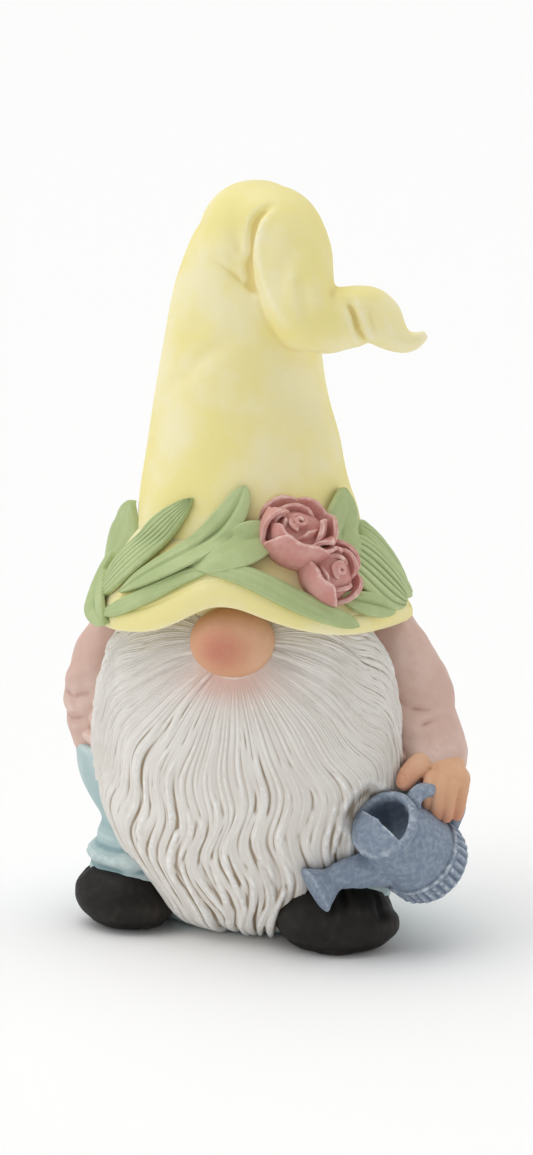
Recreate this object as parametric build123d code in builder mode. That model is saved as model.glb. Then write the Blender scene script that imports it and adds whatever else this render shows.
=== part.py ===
"""Garden gnome: a cast and painted ornament, assembled from separate hollow and solid castings.

Frame: millimetres, +Z up, the gnome faces -Y and its left hand, with the watering can, is on +X.
The origin is on the ground, in the middle of the flat face that the gnome stands on.
"""
from build123d import *
from math import cos, radians, sin
import os

os.makedirs("parts", exist_ok=True)

# ---------------------------------------------------------------- driving dimensions
WALL = 4.5                  # thickness of the hollow castings
GLUE_GAP = 0.3              # clearance between glued pieces that slide into each other
FLOOR_CLEAR = 0.6           # what does not stand on the ground ends this far above it

# Horizontal sections of the body: height, half width, half depth, centre y
TROUSER_SECTIONS = [
    (0, 46, 35, 3), (12, 56, 42, 2), (26, 64, 48, 1), (40, 70, 52, 0), (56, 76, 56, 0), (76, 77, 57, 0),
]
JUMPER_SECTIONS = [
    (76, 77, 57, 0), (90, 72, 55, -1), (108, 63, 51, -3), (126, 53, 47, -5), (141, 44, 42, -6),
]
BEARD_SECTIONS = [
    (FLOOR_CLEAR, 24, 17, -12), (5, 31, 24, -17), (12, 37, 29, -20), (28, 47, 33.5, -23),
    (42, 55, 36, -25.5), (60, 60, 38, -27.5), (80, 62, 38.5, -28), (100, 60, 37, -28),
    (118, 56, 33, -27.5), (134, 46, 26, -28),
]
SPIGOT_RADIUS = 34          # the round neck that carries the hat
SPIGOT_TOP = 166

# Hat crown: height, radius, centre x, centre y
CROWN_SECTIONS = [
    (150, 48, -2, -6), (165, 46.5, -3, -6), (180, 44, -5, -6), (198, 40.5, -5.5, -6), (217, 36.5, -6.3, -6),
    (238, 33, -5.7, -6), (262, 29.5, -4.5, -6.4), (280, 26.5, -1.5, -8), (292, 22, 1, -10),
    (300, 16.5, 3, -11), (305.5, 10.5, 3.5, -12), (309, 3, 4, -12),
]
HAT_CENTRE = (-2, -6)       # vertical axis of the brim
# Section of the brim, from its top at the crown round the rolled lip to its underside: radius, height
BRIM_OUTLINE = [(50, 166), (56, 155), (64, 143), (68, 134), (67, 128), (63, 127.5), (57, 135), (50, 146)]
BRIM_ARCH_TOP = 144         # the brim is cut away in an arch over the nose
BRIM_ARCH_RADIUS = 46
BRIM_ARCH_START = 20        # the arch is cut forwards from here
BRIM_ARCH_DEPTH = 80

# Drooping end of the hat and the twisted horn that it ends in: x, y, z, radius
TAIL_SPINE = [(3, -10, 289, 20), (12, -16, 289, 20), (18, -22, 280.5, 18.5), (21.5, -26, 268, 16.5),
              (26.5, -25, 258, 14.5), (34, -21.5, 255.5, 13)]
CURL_SPINE = [(34, -21.5, 255.5, 13), (42.5, -19, 257, 12.3), (49, -16.5, 257, 11.6),
              (54.5, -14, 254.5, 10.5), (59, -12.5, 250, 8), (63.5, -12, 247.5, 5), (68, -11.5, 247.5, 3),
              (71.5, -11, 249.5, 1.3)]
CURL_PIN_RADIUS = 2
CURL_PIN_HALF = 8

NOSE_CENTRE = (3.8, -57, 129.5)
NOSE_RADII = (17.5, 14.5, 13.7)
NOSE_PEG_RADIUS = 5
NOSE_PEG_LENGTH = 16

# Arms: horizontal sections with height, half width, half depth, centre x, centre y
RIGHT_SLEEVE_SECTIONS = [(77, 14, 16, -64.5, -6), (88, 17, 18, -64, -3), (100, 18, 19, -62, 0),
                         (113, 17.5, 18, -58, 2), (126, 14, 16, -52, 2)]
LEFT_SLEEVE_SECTIONS = [(76, 12, 11.5, 79, -18.5), (83, 14.5, 14, 74.5, -14), (92, 17.5, 17.5, 68, -8),
                        (106, 19, 19, 60.5, 0), (117, 17, 18, 55.5, 2), (127, 13, 15, 51, 2)]

# Shoes: sections of a shoe pointing along its own -Y, with height, half width, half length
SHOE_SECTIONS = [(0, 18, 29), (7, 22, 34), (16, 21, 33), (24, 15.5, 26), (29, 6, 13)]
# Middle of each shoe: x, y, turn in degrees, share of the section sizes
SHOE_PLACES = {"right_shoe": (-47.5, -18, -24, 0.95), "left_shoe": (38.7, -22, 12, 1.05)}
CUFF_RADIUS = 4.5
CUFF_RING_RADIUS = 19
CUFF_PLACES = {"right_cuff": (-44, -13, 25), "left_cuff": (46, -16, 25)}

BASE_PLATE_HALF = (33, 23)  # closing plate in the bottom of the body
BASE_PLATE_THICKNESS = 4
VENT_RADIUS = 7

# Watering can: the middle of its base, and its own three directions
CAN_BASE = (78.3, -24.3, 34.2)
CAN_AXIS = (-0.341, -0.722, 0.602)         # from the base to the mouth
CAN_SPOUT_SIDE = (-0.565, -0.354, -0.745)  # square to the axis, towards the spout
CAN_LENGTH = 39
CAN_BASE_RADIUS = 17
CAN_MOUTH_RADIUS = 12.5
CAN_WALL = 1.8
BAND_RADIUS = 18.5
BAND_WIDTH = 9
COLLAR_RADIUS = 14.2
COLLAR_WIDTH = 4
SPOUT_ROOT = 19             # along the axis, where the spout leaves the can
SPOUT_INSET = 10            # where its middle line starts, away from the axis
SPOUT_DIRECTION = (-0.86, -0.48, -0.17)
SPOUT_LENGTH = 22.5
SPOUT_ROOT_RADIUS = 7.5
SPOUT_END_RADIUS = 4.2
SPOUT_BORE = 2.2
SPRINKLER_DIRECTION = (-0.74, -0.51, -0.44)
SPRINKLER_RADIUS = 9.6
SPRINKLER_DEPTH = 11
SPRINKLER_HOLE = 0.7
HANDLE_WIDTH = 6
HANDLE_THICKNESS = 4
# Handle outline in the can's own section: along the axis, away from the axis
HANDLE_ROUTE = [(35, 12.5), (35.5, 20), (29, 25), (17, 27), (8, 25), (4.5, 16)]

# Leaves: name, half width, and (angle round the hat from the front, height) from root to tip
FRONT_LEAVES = [
    ("leaf_01", 8.5, [(-57, 150), (-54, 158), (-42, 168), (-27, 177), (-13, 184)]),
    ("leaf_02", 7.0, [(-41, 149), (-28, 157), (-14, 164.5), (-2, 172), (10, 181), (17, 190)]),
    ("leaf_03", 6.0, [(-41, 139), (-34, 144), (-24, 149.5), (-13, 155.5), (-3, 161)]),
    ("leaf_04", 8.0, [(-7, 158.5), (6, 159.5), (18, 157), (31, 150.5), (42, 144), (53, 138)]),
    ("leaf_05", 8.5, [(0, 161.5), (6, 166), (12, 171), (17, 177)]),
    ("leaf_06", 6.5, [(-64, 138), (-72, 146), (-67, 155), (-60, 161)]),
    ("leaf_07", 8.0, [(-92, 150), (-86, 163), (-80, 172), (-72, 181)]),
    ("leaf_08", 5.0, [(57, 148), (64, 144), (73, 138)]),
    ("leaf_09", 8.5, [(62, 168), (72, 174), (81, 180), (89, 186)]),
    ("leaf_10", 10.0, [(64, 162), (74, 157), (83, 149), (90, 138)]),
    ("leaf_11", 10.0, [(86, 165), (97, 158), (107, 148), (113, 137)]),
]
BACK_LEAF_COUNT = 5
BACK_LEAF_FIRST = 124       # angle of the first of them
BACK_LEAF_STEP = 25
BACK_LEAF_SPAN = 30         # how far each one runs round the hat
LEAF_THICKNESS = 3
LEAF_LIFT = 2               # height of a leaf's middle above the hat
LEAF_BLUNT = 0.25           # how blunt a leaf's ends are: 0 is a point

ROSE_PLACES = {             # middle, direction that it faces, radius
    "large_rose": ((26.5, -46.5, 173), (0.42, -0.83, 0.36), 15.5),
    "small_rose": ((43.5, -41, 156.5), (0.72, -0.62, 0.10), 12.5),
}
PETAL_WALL = 1.8
PETAL_GAP = 1

# Palm: height, half width, half depth, centre x, centre y
PALM_SECTIONS = [
    (62, 4, 4, 87, -26), (66, 8.5, 8, 87, -26.5), (72, 10.5, 9.5, 85.5, -26), (77, 10, 9.5, 83, -23),
    (81, 9, 9, 81.5, -21),
]
HAND_MIDDLE = (86.5, -26, 73)
FINGER_COUNT = 4
FINGER_RADIUS = 3
FINGER_STEP = (3.9, 2.4, -0.8)  # from one finger to the next
FINGER_ROOT = (0.3, -6.5, 0)    # of the middle of the row, from the middle of the hand
FINGER_REACH = (-1.3, -3.5, -14)
THUMB_RADIUS = 4.2
THUMB_ROOT = (-10, -3, 4)
THUMB_REACH = (-6.5, -9, -4.5)


# ---------------------------------------------------------------- helpers
def write(part, name):
    """Label a finished piece and write its file."""
    part.label = name
    export_step(part, f"parts/{name}.step")


def between(value, table, column):
    """Straight-line reading of one column of a section table at a height."""
    if value <= table[0][0]:
        return table[0][column]
    for low, high in zip(table, table[1:]):
        if value <= high[0]:
            share = (value - low[0]) / (high[0] - low[0])
            return low[column] + share * (high[column] - low[column])
    return table[-1][column]


def stacked_ellipses(sections, shrink=0.0):
    """A solid through level ellipses given as height, half width, half depth, centre y."""
    with BuildPart() as stack:
        for height, half_width, half_depth, centre_y in sections:
            with BuildSketch(Plane.XY.offset(height)):
                with Locations((0, centre_y)):
                    Ellipse(half_width - shrink, half_depth - shrink)
        loft()
    return stack.part


def stacked_circles(sections, shrink=0.0):
    """A solid through level circles given as height, radius, centre x, centre y."""
    with BuildPart() as stack:
        for height, radius, centre_x, centre_y in sections:
            with BuildSketch(Plane.XY.offset(height)):
                with Locations((centre_x, centre_y)):
                    Circle(radius - shrink)
        loft()
    return stack.part


def arm(sections):
    """A solid through level ellipses given as height, half width, half depth, centre x, centre y."""
    with BuildPart() as limb:
        for height, half_width, half_depth, centre_x, centre_y in sections:
            with BuildSketch(Plane.XY.offset(height)):
                with Locations((centre_x, centre_y)):
                    Ellipse(half_width, half_depth)
        loft()
    return limb.part


def horn(spine):
    """A round solid along a spine of points with radii, each section square to the spine."""
    points = [Vector(x, y, z) for x, y, z, _ in spine]
    with BuildPart() as body:
        for index, (_, _, _, radius) in enumerate(spine):
            before = points[max(index - 1, 0)]
            after = points[min(index + 1, len(points) - 1)]
            with BuildSketch(Plane(origin=points[index], z_dir=after - before)):
                Circle(radius)
        loft()
    return body.part


def ellipsoid(centre, radii):
    """An ellipsoid with its axes along X, Y and Z."""
    with BuildPart() as ball:
        Sphere(1)
        scale(by=radii)
    return ball.part.moved(Location(centre))


def cut_from(part, *others):
    """What is left of a piece once other pieces have taken their room."""
    with BuildPart() as rest:
        add(part)
        for other in others:
            add(other, mode=Mode.SUBTRACT)
    return rest.part


def biggest(part):
    """The main solid, where a cut leaves crumbs beside it."""
    with BuildPart() as main:
        add(part.solids().sort_by(SortBy.VOLUME)[-1])
    return main.part


# ---------------------------------------------------------------- body
trouser_shape = stacked_ellipses(TROUSER_SECTIONS)
jumper_shape = stacked_ellipses(JUMPER_SECTIONS)
with BuildPart() as body_shape:
    add(trouser_shape)
    add(jumper_shape)

with BuildPart() as spigot:
    with BuildSketch(Plane.XY.offset(JUMPER_SECTIONS[-1][0])):
        with Locations(HAT_CENTRE):
            Circle(SPIGOT_RADIUS)
    extrude(amount=SPIGOT_TOP - JUMPER_SECTIONS[-1][0])
    fillet(spigot.faces().sort_by(Axis.Z)[-1].edges(), radius=6)

with BuildPart() as neck_hollow:
    with BuildSketch(Plane.XY.offset(JUMPER_SECTIONS[-1][0] - 2 * WALL)):
        with Locations(HAT_CENTRE):
            Circle(SPIGOT_RADIUS - WALL)
    extrude(amount=SPIGOT_TOP - JUMPER_SECTIONS[-1][0] + WALL)

with BuildPart() as jumper:
    add(jumper_shape)
    add(spigot.part)
    add(stacked_ellipses([JUMPER_SECTIONS[0], *JUMPER_SECTIONS[1:-1]], shrink=WALL), mode=Mode.SUBTRACT)
    add(neck_hollow.part, mode=Mode.SUBTRACT)

trouser_hollow = stacked_ellipses(TROUSER_SECTIONS[1:], shrink=WALL)
with BuildPart() as plate_seat:
    with BuildSketch(Plane.XY):
        with Locations((0, TROUSER_SECTIONS[0][3])):
            Ellipse(BASE_PLATE_HALF[0] + GLUE_GAP, BASE_PLATE_HALF[1] + GLUE_GAP)
    extrude(amount=TROUSER_SECTIONS[1][0])

with BuildPart() as base_plate:
    with BuildSketch(Plane.XY):
        with Locations((0, TROUSER_SECTIONS[0][3])):
            Ellipse(*BASE_PLATE_HALF)
            Circle(VENT_RADIUS, mode=Mode.SUBTRACT)
    extrude(amount=BASE_PLATE_THICKNESS)
write(base_plate.part, "base_plate")

with BuildPart() as base_bung:
    with BuildSketch(Plane.XY.offset(FLOOR_CLEAR)):
        with Locations((0, TROUSER_SECTIONS[0][3])):
            Circle(VENT_RADIUS)
    extrude(amount=BASE_PLATE_THICKNESS - FLOOR_CLEAR)
    with BuildSketch(Plane.XY.offset(BASE_PLATE_THICKNESS)):
        with Locations((0, TROUSER_SECTIONS[0][3])):
            Circle(VENT_RADIUS + 1.5)
    extrude(amount=2)
write(base_bung.part, "base_bung")

# ---------------------------------------------------------------- hat
crown_shape = stacked_circles(CROWN_SECTIONS)
tail_shape = horn(TAIL_SPINE)
curl_shape = horn(CURL_SPINE)
pin_plane = Plane(origin=TAIL_SPINE[-1][:3],
                  z_dir=Vector(*CURL_SPINE[1][:3]) - Vector(*TAIL_SPINE[-2][:3]))
with BuildPart() as curl_pin:
    with BuildSketch(pin_plane.offset(-CURL_PIN_HALF)):
        Circle(CURL_PIN_RADIUS)
    extrude(amount=2 * CURL_PIN_HALF)
write(curl_pin.part, "curl_pin")

crown_hollow = stacked_circles([row for row in CROWN_SECTIONS if row[0] < 293], shrink=WALL)
with BuildPart() as hat_crown:
    add(crown_shape)
    add(crown_hollow, mode=Mode.SUBTRACT)
write(hat_crown.part, "hat_crown")

hat_tail = biggest(cut_from(tail_shape, crown_shape, curl_pin.part))
write(hat_tail, "hat_tail")
hat_curl = biggest(cut_from(curl_shape, hat_tail, curl_pin.part))
write(hat_curl, "hat_curl")


with BuildPart() as hat_brim_ring:
    with BuildSketch(Plane(origin=(*HAT_CENTRE, 0), x_dir=(1, 0, 0), z_dir=(0, -1, 0))):
        with BuildLine():
            Spline(*BRIM_OUTLINE)
            Line(BRIM_OUTLINE[-1], BRIM_OUTLINE[0])
        make_face()
    revolve(axis=Axis((*HAT_CENTRE, 0), (0, 0, 1)))
    with BuildSketch(Plane.XZ.offset(BRIM_ARCH_START)):
        with Locations((HAT_CENTRE[0], BRIM_ARCH_TOP - BRIM_ARCH_RADIUS)):
            Circle(BRIM_ARCH_RADIUS)
    extrude(amount=BRIM_ARCH_DEPTH, mode=Mode.SUBTRACT)
hat_brim = hat_brim_ring.part
write(hat_brim, "hat_brim")


# ---------------------------------------------------------------- face
nose_shape = ellipsoid(NOSE_CENTRE, NOSE_RADII)
with BuildPart() as nose:
    add(nose_shape)
    add(hat_brim, mode=Mode.SUBTRACT)
    with BuildSketch(Plane(origin=NOSE_CENTRE, z_dir=(0, 1, 0))):
        Circle(NOSE_PEG_RADIUS)
    extrude(amount=NOSE_PEG_LENGTH)
write(nose.part, "nose")

beard = biggest(cut_from(stacked_ellipses(BEARD_SECTIONS), body_shape.part, hat_brim, nose.part))

# ---------------------------------------------------------------- arms
right_sleeve = biggest(cut_from(arm(RIGHT_SLEEVE_SECTIONS), body_shape.part, hat_brim, beard))
write(right_sleeve, "right_sleeve")
left_sleeve = biggest(cut_from(arm(LEFT_SLEEVE_SECTIONS), body_shape.part, hat_brim, beard))
write(left_sleeve, "left_sleeve")


# ---------------------------------------------------------------- shoes and trouser cuffs
def shoe(place_x, place_y, turn, share):
    """A bulbous shoe, turned about the vertical; a positive turn points its toe towards +X."""
    with BuildPart() as last:
        for height, half_width, half_length in SHOE_SECTIONS:
            with BuildSketch(Plane.XY.offset(height)):
                with Locations(Location((place_x, place_y, 0), (0, 0, turn))):
                    Ellipse(half_width * share, half_length * share)
        loft()
    return last.part


def rolled_cuff(centre):
    """A rolled hem round the ankle."""
    with BuildPart() as roll:
        with BuildSketch(Plane(origin=centre, x_dir=(1, 0, 0), z_dir=(0, -1, 0))):
            with Locations((CUFF_RING_RADIUS, 0)):
                Circle(CUFF_RADIUS)
        revolve(axis=Axis(centre, (0, 0, 1)))
    return roll.part


shoe_shapes = {name: shoe(*place) for name, place in SHOE_PLACES.items()}
cuff_shapes = {name: rolled_cuff(centre) for name, centre in CUFF_PLACES.items()}
shoes = {name: biggest(cut_from(shape, trouser_shape, beard)) for name, shape in shoe_shapes.items()}
for name, piece in shoes.items():
    write(piece, name)


# ---------------------------------------------------------------- watering can
can_axis = Vector(*CAN_AXIS).normalized()
spout_side = Vector(*CAN_SPOUT_SIDE)
spout_side = (spout_side - can_axis * spout_side.dot(can_axis)).normalized()
can_base = Vector(*CAN_BASE)
# Section plane of the can: its x runs away from the spout, its y runs along the axis
can_section = Plane(origin=can_base, x_dir=-spout_side, z_dir=can_axis.cross(spout_side))
can_line = Axis(can_base, can_section.y_dir)


def turned_can_piece(outline):
    """A piece turned about the can's axis, from an outline of radius and distance along the axis."""
    with BuildPart() as ring:
        with BuildSketch(can_section):
            with BuildLine():
                Polyline(*outline, close=True)
            make_face()
        revolve(axis=can_line)
    return ring.part


spout_direction = Vector(*SPOUT_DIRECTION).normalized()
spout_start = can_base + can_axis * SPOUT_ROOT + spout_side * SPOUT_INSET
with BuildPart() as spout_shape:
    with BuildSketch(Plane(origin=spout_start, z_dir=spout_direction)):
        Circle(SPOUT_ROOT_RADIUS)
    with BuildSketch(Plane(origin=spout_start + spout_direction * SPOUT_LENGTH, z_dir=spout_direction)):
        Circle(SPOUT_END_RADIUS)
    loft()
with BuildPart() as spout_bore:
    with BuildSketch(Plane(origin=spout_start, z_dir=spout_direction)):
        Circle(SPOUT_BORE)
    extrude(amount=SPOUT_LENGTH + SPRINKLER_DEPTH / 2)

wall_end = CAN_LENGTH - COLLAR_WIDTH
can_outside = turned_can_piece([(0, 0), (CAN_BASE_RADIUS, 0), (CAN_BASE_RADIUS, BAND_WIDTH),
                                (CAN_MOUTH_RADIUS, wall_end), (0, wall_end)])
can_body = turned_can_piece([
    (0, 0), (CAN_BASE_RADIUS, 0), (CAN_BASE_RADIUS, BAND_WIDTH), (CAN_MOUTH_RADIUS, wall_end),
    (CAN_MOUTH_RADIUS - CAN_WALL, wall_end), (CAN_BASE_RADIUS - CAN_WALL, BAND_WIDTH),
    (CAN_BASE_RADIUS - CAN_WALL, CAN_WALL), (0, CAN_WALL)])
can_base_band = turned_can_piece([(CAN_BASE_RADIUS, 0), (BAND_RADIUS, 0.5), (BAND_RADIUS, BAND_WIDTH - 1),
                                  (CAN_BASE_RADIUS, BAND_WIDTH)])
can_collar = turned_can_piece([
    (CAN_MOUTH_RADIUS - CAN_WALL, wall_end), (CAN_MOUTH_RADIUS, wall_end), (COLLAR_RADIUS, wall_end + 1),
    (COLLAR_RADIUS, CAN_LENGTH - 1), (COLLAR_RADIUS - 1, CAN_LENGTH),
    (CAN_MOUTH_RADIUS - CAN_WALL, CAN_LENGTH)])
write(can_base_band, "can_base_band")
write(can_collar, "can_collar")

# Quarter-sphere hood that covers the spout side of the mouth
with BuildPart() as can_hood:
    with BuildSketch(Plane(origin=can_base + can_axis * CAN_LENGTH, x_dir=spout_side, z_dir=can_axis)):
        Circle(COLLAR_RADIUS - 1)
        Circle(COLLAR_RADIUS - 1 - CAN_WALL, mode=Mode.SUBTRACT)
        with Locations((-COLLAR_RADIUS, 0)):
            Rectangle(2 * COLLAR_RADIUS, 2 * COLLAR_RADIUS, mode=Mode.SUBTRACT)
    revolve(axis=Axis(can_base + can_axis * CAN_LENGTH, can_axis.cross(spout_side)), revolution_arc=-90)
write(can_hood.part, "can_hood")

can_spout = biggest(cut_from(spout_shape.part, can_outside, spout_bore.part))
write(can_spout, "can_spout")
can_body_open = cut_from(can_body, spout_bore.part)
write(can_body_open, "can_body")

sprinkler_start = spout_start + spout_direction * SPOUT_LENGTH
sprinkler_direction = Vector(*SPRINKLER_DIRECTION).normalized()
sprinkler_end = sprinkler_start + sprinkler_direction * SPRINKLER_DEPTH
sprinkler_face = Plane(origin=sprinkler_end, z_dir=sprinkler_direction)
with BuildPart() as can_sprinkler:
    with BuildSketch(Plane(origin=sprinkler_start, z_dir=spout_direction)):
        Circle(SPOUT_END_RADIUS)
    with BuildSketch(sprinkler_face):
        Circle(SPRINKLER_RADIUS)
    loft()
    add(spout_bore.part, mode=Mode.SUBTRACT)
    with BuildSketch(sprinkler_face):
        with PolarLocations(SPRINKLER_RADIUS * 0.35, 6):
            Circle(SPRINKLER_HOLE)
        with PolarLocations(SPRINKLER_RADIUS * 0.7, 12):
            Circle(SPRINKLER_HOLE)
    extrude(amount=-SPRINKLER_DEPTH / 4, mode=Mode.SUBTRACT)
write(can_sprinkler.part, "can_sprinkler")

with BuildPart() as handle_shape:
    with BuildLine(can_section) as handle_line:
        Spline(*[(away, along) for along, away in HANDLE_ROUTE])
    with BuildSketch(Plane(origin=handle_line.edges()[0] @ 0, x_dir=can_section.z_dir,
                           z_dir=handle_line.edges()[0] % 0)):
        Ellipse(HANDLE_WIDTH / 2, HANDLE_THICKNESS / 2)
    sweep(path=handle_line.edges()[0])
can_handle = biggest(cut_from(handle_shape.part, can_outside, can_base_band, can_collar))
write(can_handle, "can_handle")

# ---------------------------------------------------------------- hand that holds the can
def digit(root, reach, radius):
    """A finger or the thumb: thick at its root, slightly bent, rounded off at its tip."""
    middle = root + reach * 0.5 + Vector(0.6, -0.6, 0.8)
    near_tip = root + reach * 0.88
    tip = root + reach
    widths = (radius * 0.9, radius, radius * 0.85, radius * 0.35)
    return horn([(*spot, width) for spot, width in zip((root, middle, near_tip, tip), widths)])


with BuildPart() as hand_shape:
    add(arm(PALM_SECTIONS))
    for finger in range(FINGER_COUNT):
        spread = Vector(*FINGER_STEP) * (finger - (FINGER_COUNT - 1) / 2)
        root = Vector(*HAND_MIDDLE) + spread + Vector(*FINGER_ROOT)
        add(digit(root, Vector(*FINGER_REACH), FINGER_RADIUS))
    add(digit(Vector(*HAND_MIDDLE) + Vector(*THUMB_ROOT), Vector(*THUMB_REACH), THUMB_RADIUS))
hand_room = (can_handle, can_outside, can_base_band, can_collar, left_sleeve)
left_hand = biggest(cut_from(hand_shape.part, *hand_room))
write(left_hand, "left_hand")

# ---------------------------------------------------------------- pieces fitted round the can and the nose
for name, shape in cuff_shapes.items():
    write(biggest(cut_from(shape, trouser_shape, beard, can_outside, can_base_band, *shoes.values())), name)
can_room = turned_can_piece([(0, -1), (BAND_RADIUS + 1, -1), (BAND_RADIUS + 1, CAN_LENGTH), (0, CAN_LENGTH)])
write(biggest(cut_from(beard, can_collar, can_hood.part)), "beard")
write(biggest(cut_from(jumper.part, nose.part)), "jumper")
write(biggest(cut_from(trouser_shape, trouser_hollow, plate_seat.part, can_room, left_hand)), "trousers")


# ---------------------------------------------------------------- roses
def petal_ring(face, outer, foot, top, count, turn):
    """A cup of petals: it stands on a face plane, widens to its rim, and is split there into petals."""
    section = Plane(origin=face.origin, x_dir=face.x_dir, z_dir=-face.y_dir)
    with BuildPart() as ring:
        with BuildSketch(section):
            with BuildLine():
                Polyline((0, foot), (outer * 0.6, foot + (top - foot) * 0.3), (outer, top),
                         (outer - PETAL_WALL, top),
                         (outer * 0.6 - PETAL_WALL, foot + (top - foot) * 0.3 + PETAL_WALL),
                         (0, foot + PETAL_WALL), close=True)
            make_face()
        revolve(axis=Axis(face.origin, face.z_dir))
        with BuildSketch(face.offset(foot + (top - foot) * 0.55)):
            with PolarLocations(outer, count, start_angle=turn):
                Rectangle(outer * 0.6, PETAL_GAP)
        extrude(amount=top, mode=Mode.SUBTRACT)
    return ring.part


def rose_bud(face, radius, foot, top):
    """The closed heart of a rose."""
    section = Plane(origin=face.origin, x_dir=face.x_dir, z_dir=-face.y_dir)
    with BuildPart() as bud:
        with BuildSketch(section):
            with BuildLine():
                Spline((0, foot), (radius, foot + (top - foot) * 0.5), (0, top), tangents=[(1, 0), (-1, 0)])
                Line((0, top), (0, foot))
            make_face()
        revolve(axis=Axis(face.origin, face.z_dir))
    return bud.part


rose_pieces = []
for name, (centre, direction, radius) in ROSE_PLACES.items():
    face = Plane(origin=centre, z_dir=direction)
    bud = rose_bud(face, radius * 0.36, radius * 0.25, radius * 0.85)
    inner = cut_from(petal_ring(face, radius * 0.66, radius * 0.12, radius * 0.72, 3, 20), bud)
    outer = cut_from(petal_ring(face, radius, 0, radius * 0.5, 5, 0), inner, bud)
    for layer, piece in (("heart", bud), ("inner_petals", inner), ("outer_petals", outer)):
        piece = biggest(cut_from(piece, *rose_pieces[:3]))
        write(piece, f"{name}_{layer}")
        rose_pieces.append(piece)


# ---------------------------------------------------------------- leaves
def hat_skin(angle, height):
    """A point on the outside of the hat, and the level direction outwards from it."""
    outward = Vector(sin(radians(angle)), -cos(radians(angle)), 0)
    if height >= BRIM_OUTLINE[0][1]:
        radius = between(height, CROWN_SECTIONS, 1)
        centre = Vector(between(height, CROWN_SECTIONS, 2), between(height, CROWN_SECTIONS, 3), height)
    else:
        slope = sorted((row[1], row[0]) for row in BRIM_OUTLINE[:4])
        radius = between(height, slope, 1)
        centre = Vector(*HAT_CENTRE, height)
    return centre + outward * radius, outward


def leaf(half_width, route):
    """A leaf that lies along the hat, through (angle, height) points from its root to its tip."""
    places = [hat_skin(*point) for point in route]
    last = len(route) - 1
    with BuildPart() as blade:
        for index, (point, outward) in enumerate(places):
            along = places[min(index + 1, last)][0] - places[max(index - 1, 0)][0]
            share = (index + LEAF_BLUNT) / (last + 2 * LEAF_BLUNT)
            width = half_width * sin(radians(180 * share))
            across = along.cross(outward)
            lift = along.cross(across).normalized() * -LEAF_LIFT
            with BuildSketch(Plane(origin=point + lift, x_dir=across, z_dir=along)):
                Ellipse(width, LEAF_THICKNESS / 2)
        loft()
    return blade.part


def back_leaf_route(index):
    """Route of one of the leaves round the back of the hat, alternately high and low."""
    start = BACK_LEAF_FIRST + index * BACK_LEAF_STEP
    low, rise = (138, 30) if index % 2 == 0 else (146, 30)
    return [(start + BACK_LEAF_SPAN * share, low + rise * share) for share in (0, 0.35, 0.7, 1)]


leaves = [*FRONT_LEAVES]
for index in range(BACK_LEAF_COUNT):
    leaves.append((f"leaf_{len(FRONT_LEAVES) + index + 1:02d}", 8.5, back_leaf_route(index)))
placed = [hat_brim, hat_crown.part, *rose_pieces]
for name, half_width, route in leaves:
    piece = biggest(cut_from(leaf(half_width, route), *placed))
    write(piece, name)
    placed.append(piece)
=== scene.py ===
"""Garden gnome: the visual model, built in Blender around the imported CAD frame.

Shapes are worked out in millimetres as numpy arrays and turned into metres when a mesh is made.
The gnome faces -Y, +Z is up, and its left hand, with the watering can, is on +X.
"""
from math import cos, degrees, pi, radians, sin

import bmesh
import bpy
import numpy as np
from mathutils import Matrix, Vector
from mathutils.bvhtree import BVHTree


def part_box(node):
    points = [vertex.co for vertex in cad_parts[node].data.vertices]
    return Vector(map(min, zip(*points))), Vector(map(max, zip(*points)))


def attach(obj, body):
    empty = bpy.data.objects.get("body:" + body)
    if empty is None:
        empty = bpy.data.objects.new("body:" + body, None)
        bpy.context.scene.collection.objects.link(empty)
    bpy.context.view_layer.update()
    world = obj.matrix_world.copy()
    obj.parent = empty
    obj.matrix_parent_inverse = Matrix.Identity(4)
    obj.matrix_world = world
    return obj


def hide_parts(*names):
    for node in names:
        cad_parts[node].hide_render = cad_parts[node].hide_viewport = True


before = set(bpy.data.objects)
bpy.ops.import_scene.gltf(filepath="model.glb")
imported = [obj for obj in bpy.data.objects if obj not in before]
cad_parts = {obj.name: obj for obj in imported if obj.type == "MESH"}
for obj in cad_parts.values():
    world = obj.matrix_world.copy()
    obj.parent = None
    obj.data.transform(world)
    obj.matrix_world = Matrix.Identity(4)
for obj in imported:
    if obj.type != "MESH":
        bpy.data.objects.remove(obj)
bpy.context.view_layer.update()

MM = 0.001
DETAIL = 1.0     # voxel size factor, coarser while trying things out


# ================================================================ small maths
def v3(*values):
    return np.array(values, dtype=float)


def unit(vector):
    """The vector, or each row of an array of vectors, at length one."""
    vector = np.asarray(vector, dtype=float)
    return vector / np.maximum(np.linalg.norm(vector, axis=-1, keepdims=True), 1e-12)


def node_box(node):
    """Lowest and highest corner of a CAD node, in millimetres."""
    low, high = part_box(node)
    return np.array(low) / MM, np.array(high) / MM


def ramp(value, low, high):
    """Smooth step from 0 at low to 1 at high."""
    share = np.clip((np.asarray(value, dtype=float) - low) / (high - low), 0, 1)
    return share * share * (3 - 2 * share)


def bump(value, middle, width):
    """A smooth bump of height 1 at middle."""
    return np.exp(-((np.asarray(value, dtype=float) - middle) / width) ** 2)


def wobble(points, size, seed, waves=9):
    """Smooth pseudo-noise, about -1 to 1, with features of about the given size in mm."""
    rng = np.random.default_rng(seed)
    directions = unit(rng.normal(size=(waves, 3)))
    lengths = size * rng.uniform(0.7, 1.5, waves)
    phases = rng.uniform(0, 2 * pi, waves)
    waves_at = np.asarray(points) @ (directions / lengths[:, None] * 2 * pi).T + phases
    return np.sin(waves_at).sum(axis=1) / np.sqrt(waves) * 0.8


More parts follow.
